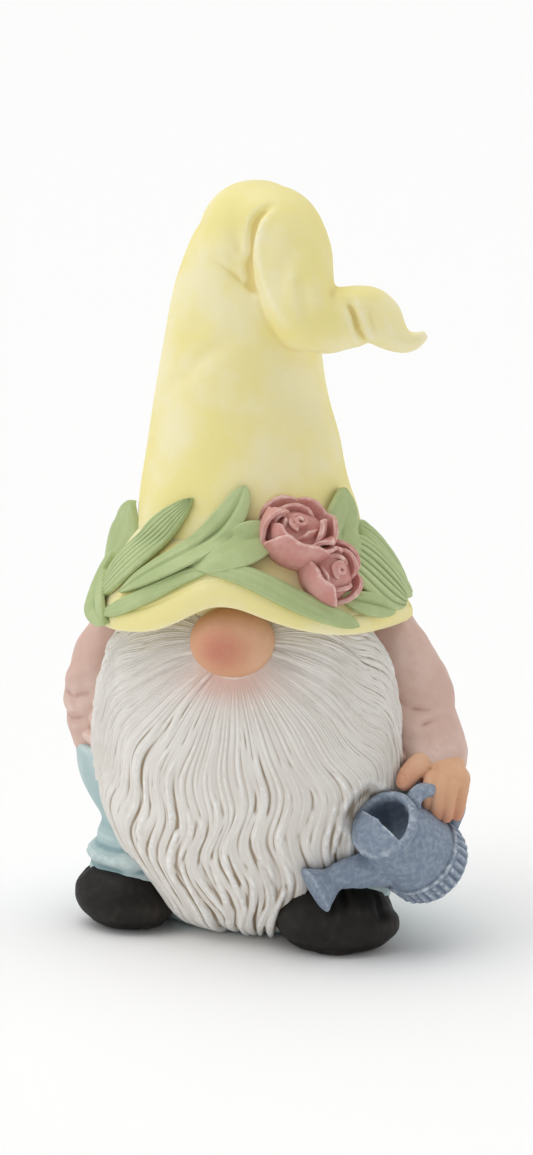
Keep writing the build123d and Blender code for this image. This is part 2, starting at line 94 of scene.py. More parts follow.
def curve(points, count):
    """Catmull-Rom curve through rows of numbers, evenly sampled; any extra columns ride along."""
    rows = np.asarray(points, dtype=float)
    padded = np.vstack([2 * rows[0] - rows[1], rows, 2 * rows[-1] - rows[-2]])
    spans = len(rows) - 1
    at = np.linspace(0, spans, count)
    index = np.minimum(at.astype(int), spans - 1)
    t = (at - index)[:, None]
    a, b, c, d = (padded[index + k] for k in range(4))
    return 0.5 * (2 * b + (c - a) * t + (2 * a - 5 * b + 4 * c - d) * t ** 2
                  + (3 * b - a - 3 * c + d) * t ** 3)


def distance_to_line(points, line):
    """Distance of each point to a polyline, and how far along it, from 0 to 1, the nearest place is."""
    points = np.asarray(points)
    best = np.full(len(points), 1e9)
    along = np.zeros(len(points))
    count = len(line) - 1
    for index in range(count):
        start, step = line[index], line[index + 1] - line[index]
        share = np.clip(((points - start) @ step) / max(step @ step, 1e-12), 0, 1)
        gap = np.linalg.norm(points - (start + share[:, None] * step), axis=1)
        nearer = gap < best
        best[nearer] = gap[nearer]
        along[nearer] = (index + share[nearer]) / count
    return best, along


# ================================================================ meshes
def grid_faces(rows, columns, wrap_columns=True, start=0):
    """Quads of a grid of points stored row by row."""
    last = columns if wrap_columns else columns - 1
    r, c = np.meshgrid(np.arange(rows - 1), np.arange(last), indexing="ij")
    here = r * columns + c
    right = r * columns + (c + 1) % columns
    quads = np.stack([here, right, right + columns, here + columns], axis=-1).reshape(-1, 4)
    return (quads + start).tolist()


def capped_faces(rows, around):
    """Faces of rings of points stored one after another, closed at both ends."""
    first, last = list(range(around))[::-1], [(rows - 1) * around + index for index in range(around)]
    return grid_faces(rows, around) + [first, last]


def grid_rim(rows, columns):
    """The points round the edge of a grid, starting along its first row."""
    rim = list(range(columns)) + [r * columns + columns - 1 for r in range(1, rows)]
    rim += [(rows - 1) * columns + c for c in range(columns - 2, -1, -1)]
    return rim + [r * columns for r in range(rows - 2, 0, -1)]


def sheet_faces(rows, columns, rim):
    """Faces of a sheet with two sides, whose points are a grid and then the same grid again."""
    count = rows * columns
    faces = [face[::-1] for face in grid_faces(rows, columns, wrap_columns=False)]
    faces += grid_faces(rows, columns, wrap_columns=False, start=count)
    return faces + [[a, b, b + count, a + count] for a, b in zip(rim, rim[1:] + rim[:1])]


def make_object(name, points, faces):
    """A mesh object from points in mm and faces."""
    mesh = bpy.data.meshes.new(name)
    mesh.from_pydata((np.asarray(points) * MM).tolist(), [], faces)
    mesh.update()
    piece = bpy.data.objects.new(name, mesh)
    bpy.context.scene.collection.objects.link(piece)
    return piece


def joined(shapes):
    """Several (points, faces) as one."""
    points, faces, start = [], [], 0
    for part_points, part_faces in shapes:
        points.append(np.asarray(part_points))
        faces += [[index + start for index in face] for face in part_faces]
        start += len(part_points)
    return np.vstack(points), faces


def fetched(items, field, width, kind=np.float32):
    """A field of all items of a mesh, as rows of the given width."""
    flat = np.empty(len(items) * width, dtype=kind)
    items.foreach_get(field, flat)
    return flat.reshape(-1, width)


def get_points(piece):
    """Vertex positions in mm."""
    return fetched(piece.data.vertices, "co", 3).astype(float) / MM


def set_points(piece, points):
    piece.data.vertices.foreach_set("co", (np.asarray(points) * MM).astype(np.float32).ravel())
    piece.data.update()


def get_normals(piece):
    return fetched(piece.data.vertex_normals, "vector", 3).astype(float)


def get_edges(piece):
    return fetched(piece.data.edges, "vertices", 2, np.int32)


def averaged(values, edges, steps, strength=0.5):
    """Values blended with their neighbours' along the edges, several times."""
    values = np.array(values, dtype=float)
    flat = values.reshape(len(values), -1)
    ends = np.concatenate([edges[:, 0], edges[:, 1]])
    others = np.concatenate([edges[:, 1], edges[:, 0]])
    degree = np.maximum(np.bincount(ends, minlength=len(flat)), 1)
    for _ in range(steps):
        for column in range(flat.shape[1]):
            mean = np.bincount(ends, weights=flat[others, column], minlength=len(flat)) / degree
            flat[:, column] += strength * (mean - flat[:, column])
    return flat.reshape(values.shape)


def relax(piece, steps, strength=0.5):
    """Smooths a mesh by moving each vertex towards its neighbours."""
    set_points(piece, averaged(get_points(piece), get_edges(piece), steps, strength))


def modified(piece, kind, **settings):
    """Adds a modifier, applies it and leaves the result on the piece."""
    modifier = piece.modifiers.new(kind.title(), kind)
    for key, value in settings.items():
        setattr(modifier, key, value)
    evaluated = piece.evaluated_get(bpy.context.evaluated_depsgraph_get())
    mesh = bpy.data.meshes.new_from_object(evaluated)
    old = piece.data
    piece.modifiers.clear()
    piece.data = mesh
    mesh.name = piece.name
    bpy.data.meshes.remove(old)


def fused(name, shapes, voxel, smoothing=2):
    """One closed skin round several overlapping shapes, with the voxel size in mm."""
    piece = make_object(name, *joined(shapes))
    modified(piece, "REMESH", mode="VOXEL", voxel_size=voxel * DETAIL * MM)
    relax(piece, smoothing)
    return piece


def push(piece, amount):
    """Moves each vertex along its normal by an amount in mm."""
    set_points(piece, get_points(piece) + get_normals(piece) * np.asarray(amount)[:, None])


def put_attribute(piece, name, values):
    """Stores one number per vertex for the materials."""
    attribute = piece.data.attributes.get(name) or piece.data.attributes.new(name, "FLOAT", "POINT")
    attribute.data.foreach_set("value", np.asarray(values, dtype=np.float32))


def mark_relief(piece, reach=8, scale=0.35):
    """Stores how deep each vertex lies in a crease (above 0.5) or on a ridge (below 0.5)."""
    points, edges = get_points(piece), get_edges(piece)
    near = averaged(points, edges, reach)
    depth = ((near - points) * get_normals(piece)).sum(axis=1)
    put_attribute(piece, "crease", 0.5 + 0.5 * np.clip(averaged(depth, edges, 1) / scale, -1, 1))


def flip_outwards(piece):
    """Makes all faces of a closed piece look outwards."""
    mesh = bmesh.new()
    mesh.from_mesh(piece.data)
    bmesh.ops.recalc_face_normals(mesh, faces=mesh.faces)
    mesh.to_mesh(piece.data)
    mesh.free()


def surface(piece):
    """A search tree over the piece's faces, for finding places on it."""
    points = [tuple(point) for point in get_points(piece)]
    return BVHTree.FromPolygons(points, [tuple(face.vertices) for face in piece.data.polygons])


def tube(points, widths, around=48, depths=None, side=None, caps=4):
    """A round-ended tube along points, with half widths and, if they differ, half depths.

    side is the direction of the width; without it the section is carried along without twisting.
    """
    points = np.asarray(points, dtype=float)
    widths = np.asarray(widths, dtype=float)
    depths = widths if depths is None else np.asarray(depths, dtype=float)
    along = unit(np.gradient(points, axis=0))
    across = np.zeros_like(points)
    guess = v3(1, 0, 0) if side is None else np.asarray(side, dtype=float)
    if guess.ndim == 1:
        slanted = abs(unit(guess) @ along[0]) < 0.98
        guess = unit(guess - along[0] * (guess @ along[0])) if slanted else v3(0, 1, 0)
        for index, direction in enumerate(along):
            guess = unit(guess - direction * (guess @ direction))
            across[index] = guess
    else:
        across = unit(guess - along * (guess * along).sum(axis=1, keepdims=True))
    up = np.cross(along, across)
    # Extra rings round off both ends
    turn = np.linspace(0, pi / 2, caps + 1)[:-1]
    rings = []
    for angle in turn:
        rings.append((points[0] - along[0] * widths[0] * cos(angle), across[0], up[0],
                      widths[0] * max(sin(angle), 0.02), depths[0] * max(sin(angle), 0.02)))
    rings += list(zip(points, across, up, widths, depths))
    for angle in turn[::-1]:
        rings.append((points[-1] + along[-1] * widths[-1] * cos(angle), across[-1], up[-1],
                      widths[-1] * max(sin(angle), 0.02), depths[-1] * max(sin(angle), 0.02)))
    circle = np.linspace(0, 2 * pi, around, endpoint=False)
    skin = [centre + np.outer(np.cos(circle) * width, x) + np.outer(np.sin(circle) * depth, y)
            for centre, x, y, width, depth in rings]
    return np.vstack(skin), capped_faces(len(skin), around)


def ball(centre, radii, rows=24, around=40, turn=0.0):
    """An ellipsoid, turned about Z by an angle in degrees."""
    polar = np.linspace(0.03, pi - 0.03, rows)
    circle = np.linspace(0, 2 * pi, around, endpoint=False)
    shape = np.array([[radii[0] * sin(p) * cos(c), radii[1] * sin(p) * sin(c), radii[2] * cos(p)]
                      for p in polar for c in circle])
    a = radians(turn)
    shape = shape @ np.array([[cos(a), sin(a), 0], [-sin(a), cos(a), 0], [0, 0, 1]])
    return shape + centre, [face[::-1] for face in capped_faces(rows, around)]


# ================================================================ materials
def smooth_range(nodes, *settings):
    """A node that maps its value smoothly, given from low, from high, to low and to high."""
    node = nodes.new("ShaderNodeMapRange")
    node.interpolation_type = "SMOOTHSTEP"
    for socket, setting in zip(node.inputs[1:5], settings):
        socket.default_value = setting
    return node


def linear(srgb):
    """A linear colour from sRGB values of 0 to 255."""
    return tuple((c / 255 / 12.92) if c <= 10 else ((c / 255 + 0.055) / 1.055) ** 2.4 for c in srgb)


def paint(name, base, wash_and_shade, brush_and_highlight, *, patches=0.25, wash_and_shade_strength=0.9, brush_and_highlight_strength=0.7, grain=0.25,
          roughness=0.62, patch_size=22, blush=None):
    """Hand-painted cast resin: a base coat, a darker colour in the creases, part washed-in paint and part
    painted shade, and a lighter colour on the ridges, part dry-brushing and part a painted highlight.

    base, wash, brush and blush are sRGB colours; blush is a stain where the attribute of that name says so.
    """
    base, wash_and_shade, brush_and_highlight = linear(base), linear(wash_and_shade), linear(brush_and_highlight)
    material = bpy.data.materials.new(name)
    material.use_nodes = True
    nodes, links = material.node_tree.nodes, material.node_tree.links
    nodes.clear()
    output = nodes.new("ShaderNodeOutputMaterial")
    shader = nodes.new("ShaderNodeBsdfPrincipled")
    shader.inputs["IOR"].default_value = 1.46
    shader.inputs["Specular IOR Level"].default_value = 0.35
    links.new(shader.outputs["BSDF"], output.inputs["Surface"])
    place = nodes.new("ShaderNodeTexCoord").outputs["Object"]

    def number(kind, first, second):
        node = nodes.new("ShaderNodeMath")
        node.operation = kind
        for socket, value in zip(node.inputs, (first, second)):
            if isinstance(value, (int, float)):
                socket.default_value = value
            else:
                links.new(value, socket)
        return node.outputs[0]

    def spread(value, low, high, to_low=0.0, to_high=1.0):
        node = smooth_range(nodes, low, high, to_low, to_high)
        links.new(value, node.inputs[0])
        return node.outputs[0]

    def noise(size, detail=4.0):
        node = nodes.new("ShaderNodeTexNoise")
        node.inputs["Scale"].default_value = 1 / (size * MM)
        node.inputs["Detail"].default_value = detail
        node.inputs["Roughness"].default_value = 0.6
        links.new(place, node.inputs["Vector"])
        return node.outputs["Fac"]

    def blend(factor, first, second):
        node = nodes.new("ShaderNodeMix")
        node.data_type = "RGBA"
        links.new(factor, node.inputs["Factor"])
        for socket, value in zip((node.inputs["A"], node.inputs["B"]), (first, second)):
            if isinstance(value, tuple):
                socket.default_value = (*value, 1)
            else:
                links.new(value, socket)
        return node.outputs["Result"]

    def stored(attribute_name):
        node = nodes.new("ShaderNodeAttribute")
        node.attribute_name = attribute_name
        return node.outputs["Fac"]

    crease = stored("crease")
    cloud = noise(patch_size)
    fine = noise(2.2, 6)
    lighter = tuple(channel + (b - channel) * patches for channel, b in zip(base, brush_and_highlight))
    colour = blend(spread(cloud, 0.38, 0.66), base, lighter)
    if blush:
        stain = number("MULTIPLY", stored("blush"), spread(fine, 0.15, 0.6, 0.75, 1))
        colour = blend(stain, colour, linear(blush))
    # Painted shade together with the real wash: the creases darken towards the crease colour
    wash_and_shade_mask = spread(crease, 0.54, 0.86)
    wash_and_shade_mask = number("MULTIPLY", wash_and_shade_mask, spread(cloud, 0.2, 0.7, wash_and_shade_strength * 0.7, wash_and_shade_strength))
    colour = blend(wash_and_shade_mask, colour, wash_and_shade)
    # Painted highlight together with the real dry brush: the ridges lighten towards the ridge colour
    ridge = spread(crease, 0.46, 0.14)
    ridge = number("MULTIPLY", ridge, spread(fine, 0.34, 0.62, 0.15, brush_and_highlight_strength))
    colour = blend(ridge, colour, brush_and_highlight)
    links.new(colour, shader.inputs["Base Color"])
    links.new(spread(fine, 0.3, 0.7, roughness - 0.06, roughness + 0.08), shader.inputs["Roughness"])
    height = number("ADD", number("MULTIPLY", fine, 0.6), number("MULTIPLY", noise(0.7, 3), 0.4))
    relief = nodes.new("ShaderNodeBump")
    relief.inputs["Strength"].default_value = 1.0
    relief.inputs["Distance"].default_value = grain * MM
    links.new(height, relief.inputs["Height"])
    links.new(relief.outputs["Normal"], shader.inputs["Normal"])
    return material


# Base coat, crease colour (wash and painted shade) and ridge colour (dry brush and painted highlight)
# as sRGB values of 0 to 255, and what else differs
PAINT_TABLE = {
    "hat_paint": ((238, 226, 152), (222, 202, 128), (246, 241, 222),
                  dict(patches=0.45, brush_and_highlight_strength=0.45, grain=0.12, patch_size=40)),
    "leaf_paint": ((170, 186, 132), (104, 124, 74), (208, 218, 170),
                   dict(grain=0.12, wash_and_shade_strength=0.85, brush_and_highlight_strength=0.5, patch_size=14)),
    "rose_paint": ((202, 142, 134), (150, 80, 74), (236, 206, 196),
                   dict(grain=0.12, wash_and_shade_strength=0.75, brush_and_highlight_strength=1.0, patch_size=9)),
    "beard_paint": ((222, 217, 210), (150, 131, 106), (246, 245, 242),
                    dict(grain=0.12, wash_and_shade_strength=1.0, brush_and_highlight_strength=1.0, patch_size=18,
                         blush=(228, 172, 156))),
    "skin_paint": ((216, 168, 132), (160, 104, 78), (234, 200, 172),
                   dict(grain=0.06, patches=0.3, blush=(192, 112, 94))),
    "jumper_paint": ((206, 173, 160), (166, 122, 110), (230, 208, 198), dict(grain=0.12, patches=0.4)),
    "trouser_paint": ((170, 192, 193), (118, 150, 156), (206, 219, 218), dict(grain=0.12, patches=0.4)),
    # On the shoes the lighter brown ridge colour is a painted sheen
    "shoe_paint": ((19, 16, 13), (5, 4, 4), (78, 69, 60),
                   dict(grain=0.15, roughness=0.6, brush_and_highlight_strength=0.5, patches=0.06)),
    "can_paint": ((122, 136, 155), (68, 82, 106), (206, 214, 222),
                  dict(grain=0.2, brush_and_highlight_strength=1.0, patches=0.22, patch_size=2.2)),
    "bare_resin": ((206, 202, 194), (168, 162, 150), (222, 219, 212), dict(grain=0.2)),
    "bung_rubber": ((140, 140, 136), (96, 96, 92), (168, 168, 164), dict(grain=0.1, roughness=0.75)),
    "pin_steel": ((158, 158, 160), (96, 96, 98), (196, 196, 198), dict(grain=0.05, roughness=0.4)),
}
PAINTS = {name: paint(name, *coats, **settings) for name, (*coats, settings) in PAINT_TABLE.items()}


def finish_piece(piece, slot, *nodes, relief=8, relief_scale=0.35):
    """Gives a piece its paint and its place in the frame."""
    mark_relief(piece, relief, relief_scale)
    piece.data.materials.clear()
    piece.data.materials.append(PAINTS[slot])
    piece.data.polygons.foreach_set("use_smooth", np.ones(len(piece.data.polygons), dtype=bool))
    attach(piece, "root")
    if nodes:
        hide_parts(*nodes)
    return piece


# ================================================================ camera, light and floor
def look(name, data, place, target):
    """Links an object at a place, turned towards a target."""
    thing = bpy.data.objects.new(name, data)
    bpy.context.scene.collection.objects.link(thing)
    thing.location = Vector(place)
    thing.rotation_euler = (Vector(target) - Vector(place)).to_track_quat("-Z", "Y").to_euler()
    return thing


CAMERA_AZIMUTH = radians(15)
CAMERA_ELEVATION = radians(11)
CAMERA_DISTANCE = 1.4
CAMERA_RIGHT = Vector((cos(CAMERA_AZIMUTH), sin(CAMERA_AZIMUTH), 0))
CAMERA_BACK = Vector((sin(CAMERA_AZIMUTH) * cos(CAMERA_ELEVATION),
                      -cos(CAMERA_AZIMUTH) * cos(CAMERA_ELEVATION), sin(CAMERA_ELEVATION)))
TARGET_HEIGHT = 0.145
TARGET_SHIFT = 0.0027       # to the right of the gnome's middle
camera_target = Vector((0, 0, TARGET_HEIGHT)) + CAMERA_RIGHT * TARGET_SHIFT
camera_data = bpy.data.cameras.new("camera")
camera_data.lens = 105
camera_data.sensor_width = 36
camera_data.clip_start = 0.05
camera = look("camera", camera_data, camera_target + CAMERA_BACK * CAMERA_DISTANCE, camera_target)
bpy.context.scene.camera = camera


def lamp(name, energy, angle, place):
    """A far, wide light towards the gnome; the angle in degrees sets how soft it is."""
    data = bpy.data.lights.new(name, "SUN")
    data.energy = energy
    data.angle = radians(angle)
    look(name, data, place, (0, 0, 0.1))


# A soft tent: light from above and from both sides
TOWARDS_CAMERA = Vector((sin(CAMERA_AZIMUTH), -cos(CAMERA_AZIMUTH), 0))
lamp("above", 1.75, 70, Vector((0, 0, 3)) - CAMERA_RIGHT * 0.5 - TOWARDS_CAMERA * 0.3)
lamp("left", 0.62, 60, Vector((0, 0, 1.1)) - CAMERA_RIGHT * 2 + TOWARDS_CAMERA * 0.5)
lamp("right", 0.42, 60, Vector((0, 0, 1.0)) + CAMERA_RIGHT * 2 - TOWARDS_CAMERA * 0.2)

world = bpy.data.worlds.new("studio")
world.use_nodes = True
world_nodes, world_links = world.node_tree.nodes, world.node_tree.links
world_nodes["Background"].inputs["Color"].default_value = (1, 1, 1, 1)
# The surrounding is brightest along the horizon, like a lit backdrop
direction = world_nodes.new("ShaderNodeTexCoord")
parts = world_nodes.new("ShaderNodeSeparateXYZ")
glow = smooth_range(world_nodes, 0.10, 0.30, 1.0, 0.33)
world_links.new(direction.outputs["Generated"], parts.inputs[0])
world_links.new(parts.outputs["Z"], glow.inputs[0])
world_links.new(glow.outputs[0], world_nodes["Background"].inputs["Strength"])
bpy.context.scene.world = world
bpy.context.scene.view_settings.view_transform = "Standard"
bpy.context.scene.view_settings.look = "None"

FLOOR = 40000               # half its width, in mm
floor = make_object("floor", [(-FLOOR, -FLOOR, 0), (FLOOR, -FLOOR, 0), (FLOOR, FLOOR, 0),
                              (-FLOOR, FLOOR, 0)], [[0, 1, 2, 3]])
floor_paint = bpy.data.materials.new("floor_paint")
floor_paint.use_nodes = True
floor_shader = floor_paint.node_tree.nodes["Principled BSDF"]
floor_shader.inputs["Base Color"].default_value = (0.95, 0.95, 0.945, 1)
floor_shader.inputs["Roughness"].default_value = 0.9
floor.data.materials.append(floor_paint)


# ================================================================ hat
# Crown: x, y, z of the middle of each level ring, and its radius
CROWN_SPINE = [
    (-2, -6, 150, 48), (-3, -6, 165, 46.5), (-4.7, -6, 180, 44), (-5.5, -6, 198, 40.5),
    (-6.3, -6, 217, 36.5), (-5.9, -6, 238, 33), (-4.5, -6.4, 262, 29.5), (-2, -8, 278, 26),
    (0.5, -9, 288, 22.5)]
# The drooping end: from the dome of the crown, down its right front, and out to the side
TAIL_SPINE = [(3, -10, 288.5, 20.5), (10.5, -15.5, 288, 20), (17, -20.5, 281, 18), (21, -24.5, 271, 15.8),
              (24, -26.8, 262, 14.4), (28.5, -25, 257, 13.4), (34, -21.5, 255, 13)]
CURL_SPINE = [
    (26, -26, 257, 13.2), (34, -21.5, 255.5, 13), (42.5, -19, 257, 12.6), (49, -16.5, 257.5, 12),
    (54, -14.2, 255, 11), (58, -12.7, 250.5, 9.0), (62.5, -12, 247.3, 6.6), (66.5, -11.5, 247.0, 4.8),
    (70.3, -11, 249.0, 3.0)]
LIP_RADIUS = 66
BRIM_TOP = 170.0            # where the brim leaves the crown
BRIM_TOP_RADIUS = 44.5
HAT_AXIS = v3(-2, -6, 0)

# The brim's lip, round the hat: angle from the front towards +X, height of its lower and upper edge
BRIM_LIP = [
    (-180, 127, 132), (-150, 130, 135), (-120, 127, 132), (-95, 129, 134), (-75, 131.5, 136),
    (-60, 131.5, 137.5), (-45, 130.5, 138), (-30, 132, 141.5), (-20, 134, 146), (-10, 139.5, 152),
    (0, 146, 157.5), (10, 146, 157.5), (20, 141, 151.5), (30, 137, 145.5), (42, 133.5, 140.5),
    (55, 132, 140.5), (70, 131.5, 142), (90, 130.5, 138), (105, 128, 134.5), (125, 130.5, 136),
    (150, 127.5, 132.5), (180, 127, 132)]


def lip_at(angle):
    """Heights of the lower and upper edge of the lip, smoothly interpolated round the hat."""
    angles = np.array([row[0] for row in BRIM_LIP], dtype=float)
    at = (np.asarray(angle, dtype=float) + 180) % 360 - 180
    result = []
    for column in (1, 2):
        values = np.array([row[column] for row in BRIM_LIP])
        fine = np.arange(-180, 181, 3.0)
        coarse = np.interp(fine, angles, values)
        ring = coarse[:-1]
        for _ in range(3):
            ring = 0.25 * np.roll(ring, 1) + 0.5 * ring + 0.25 * np.roll(ring, -1)
        result.append(np.interp(at, fine, np.append(ring, ring[0])))
    return result


def brim_shell(columns=240):
    """The brim: from the crown down over the rolled lip and back up underneath."""
    angles = np.linspace(-180, 180, columns, endpoint=False)
    low, high = lip_at(angles)
    outward = np.stack([np.sin(np.radians(angles)), -np.cos(np.radians(angles)), 0 * angles], axis=1)
    thickness = high - low
    middle = (low + high) / 2
    # The lip swings in and out a little as it rises and falls
    reach = LIP_RADIUS + 1.0 * wobble(outward * LIP_RADIUS, 60, 3)
    rows = []
    for share in np.linspace(0, 1, 14):             # outer face, from the crown to the lip's top
        radius = BRIM_TOP_RADIUS + (reach - 1.5 - BRIM_TOP_RADIUS) * share
        height = BRIM_TOP + (high - BRIM_TOP) * (0.62 * share + 0.38 * share ** 2)
        rows.append((radius, height))
    for turn in np.linspace(80, -80, 9):            # round the lip
        radius = reach - 2.4 + 2.4 * cos(radians(turn))
        height = middle + thickness / 2 * sin(radians(turn))
        rows.append((radius, height))
    for share in np.linspace(0.12, 1, 8):           # underside
        radius = reach - 3 + (40 - reach + 3) * share
        height = low + 0.4 + (np.maximum(150, low + 6) - low) * share ** 0.8
        rows.append((radius, height))
    points = [HAT_AXIS + outward * np.asarray(radius)[:, None]
              + np.outer(np.asarray(height) * np.ones(columns), (0, 0, 1))
              for radius, height in rows]
    points = np.vstack(points)
    faces = grid_faces(len(rows) + 1, columns)
    count = len(points)
    return points, [[index % count for index in face] for face in faces]


def fold(piece, line, width, depth):
    """Presses a groove, or with a negative depth raises a ridge, along a line; it fades at both ends."""
    points = get_points(piece)
    gap, along = distance_to_line(points, np.asarray(line, dtype=float))
    fade = np.sin(np.clip(along, 0.02, 0.98) * pi) ** 0.5
    push(piece, -depth * fade * bump(gap, 0, width))


def make_hat():
    crown = curve(CROWN_SPINE, 60)
    tail = curve(TAIL_SPINE, 40)
    curl = curve(CURL_SPINE, 60)
    # The horn is an oval that turns as it runs out, which gives it its twist
    turn = np.radians(np.linspace(0, 250, len(curl)))
    along = unit(np.gradient(curl[:, :3], axis=0))
    level = unit(np.cross(along, v3(0, 0, 1)))
    upright = np.cross(level, along)
    side = level * np.cos(turn)[:, None] + upright * np.sin(turn)[:, None]
    flat = 1 - 0.2 * ramp(np.linspace(0, 1, len(curl)), 0.1, 0.5)
    shapes = [tube(crown[:, :3], crown[:, 3], around=120, caps=10),
              tube(tail[:, :3], tail[:, 3], around=80, caps=6),
              tube(curl[:, :3], curl[:, 3], around=64, depths=curl[:, 3] * flat, side=side, caps=6)]
    return fused("hat", shapes, 0.95, smoothing=8)


hat = make_hat()


def in_view(piece, line):
    """The places on a piece that lie along a line of (across, height), seen level from the viewing side."""
    tree = surface(piece)
    towards = v3(sin(CAMERA_AZIMUTH), -cos(CAMERA_AZIMUTH), 0)
    places = []
    for across, height in curve(line, 24):
        start = v3(*CAMERA_RIGHT) * across + towards * 150 + v3(0, 0, height)
        spot = tree.ray_cast(Vector(start), Vector(-towards))[0]
        if spot is not None:
            places.append(np.array(spot))
    return places


# Folds of the hat: line across the view and up it, half width, depth (a ridge where it is negative)
HAT_FOLDS = [
    ([(4, 301.5), (-1.5, 297), (-4, 289), (-4.6, 280), (-3.4, 268)], 1.7, 3.8),
    ([(-3, 297), (-8, 288), (-9, 278), (-7, 268)], 4.5, 1.3),
    ([(-21, 281), (-13, 276), (-6, 270.5), (-1, 268)], 1.9, 1.5),
    ([(3, 298), (0, 289), (1, 277), (4.5, 266), (11, 255)], 2.6, -1.2),
    ([(15, 291), (13, 284), (11, 276)], 5.5, 1.1), ([(9, 282), (8.5, 273), (11, 264)], 3.2, 0.9),
    ([(17, 276), (17.5, 266), (21, 256)], 3.0, 1.5), ([(22, 276), (24, 267), (29, 260)], 3.4, -0.9),
    ([(35, 264.5), (38, 259), (40, 252), (43.5, 245)], 1.5, 3.6),
    ([(44, 263), (44.5, 256), (47.5, 249)], 2.6, 1.2), ([(38.5, 265), (41.5, 258), (44.5, 248)], 1.5, -0.9),
    ([(49, 263), (51, 256), (55, 250.5), (61, 249)], 2.0, -0.8),
    ([(53, 253), (58, 249), (63, 248.5)], 1.6, 1.0), ([(-10, 250), (-24, 240), (-37, 227)], 4, 1.2),
    ([(-20, 262), (-26, 250), (-31, 240)], 6, 0.6), ([(8, 232), (16, 225), (26, 222)], 5, 0.7),
    ([(12, 196), (20, 193), (30, 194)], 4.5, 0.6)]
for line, width, depth in HAT_FOLDS:
    fold(hat, in_view(hat, line), width, depth)
relax(hat, 2)
push(hat, 0.3 * wobble(get_points(hat), 30, 17))
finish_piece(hat, "hat_paint", "hat_crown", "hat_tail", "hat_curl", relief=12, relief_scale=0.6)
brim = make_object("hat_brim_shell", *brim_shell())
flip_outwards(brim)
modified(brim, "SUBSURF", levels=1, render_levels=1)
finish_piece(brim, "hat_paint", "hat_brim")


# ================================================================ where the watering can is
CAN_BASE = v3(78.3, -24.3, 34.2)
CAN_AXIS = unit(v3(-0.341, -0.722, 0.602))
CAN_SPOUT_SIDE = v3(-0.565, -0.354, -0.745)
CAN_SPOUT_SIDE = unit(CAN_SPOUT_SIDE - CAN_AXIS * (CAN_SPOUT_SIDE @ CAN_AXIS))
CAN_CROSS = np.cross(CAN_AXIS, CAN_SPOUT_SIDE)


# ================================================================ beard
# Level sections of the beard's body: height, half width, half depth, centre y
BEARD_SECTIONS = [
    (0.4, 23, 16, -12), (5, 30, 23, -16.5), (12, 37, 28, -19.5), (28, 47, 32.5, -23), (42, 55.5, 35, -25.5),
    (60, 61, 37, -27.5), (80, 63.4, 37.5, -28), (100, 61.6, 36, -28), (118, 57, 32.5, -27.5),
    (132, 48.5, 27, -28), (142, 38, 19, -30)]
BEARD_MIDDLE = 2.4          # centre x
BEARD_ARC = 60              # mm of arc for each radian round the beard
HAIR_SPOT = v3(2.5, 129)    # where the hair springs from, in arc and height
HAIR_FAN = 128              # it fans out by this many degrees to each side of straight down
# Where the hair ends: degrees from straight down, arc, height
HAIR_ENDS = [
    (0, 0, 0.5), (14, 17, 0.5), (28, 38, 0.5), (42, 60, 0.5), (55, 82, 3), (66, 97, 16), (78, 100, 42),
    (90, 100, 68), (102, 100, 92), (115, 100, 114), (128, 100, 132)]
BASE_LOCKS = 92             # broad locks that cover the whole beard
# Locks laid over them: how many, where they begin, length, half width, thickness, rise, strands
LOCK_LAYERS = [
    (120, (0.0, 0.16), (0.3, 0.75), 1.5, 1.2, (0.2, 1.0), (1, 2)),
    (220, (0.2, 0.55), (0.3, 0.6), 2.0, 1.5, (0.4, 1.7), (2, 3)),
    (230, (0.45, 0.82), (0.18, 0.4), 1.8, 1.5, (0.6, 2.2), (1, 3))]
SIDE_LOCKS = ((0.5, 0.66), (0.18, 0.36), 1.8, 1.3, (0.8, 1.8), (1, 2))


def beard_place(arc, height):
    """A place on the smooth body of the beard."""
    rows = curve(BEARD_SECTIONS, 200)
    angle = np.asarray(arc, dtype=float) / BEARD_ARC
    half_width, half_depth, centre = (np.interp(height, rows[:, 0], rows[:, k]) for k in (1, 2, 3))
    across, deep = half_width * np.sin(angle), half_depth * np.cos(angle)
    return np.stack([BEARD_MIDDLE + across, centre - deep, height + 0 * angle], axis=-1)


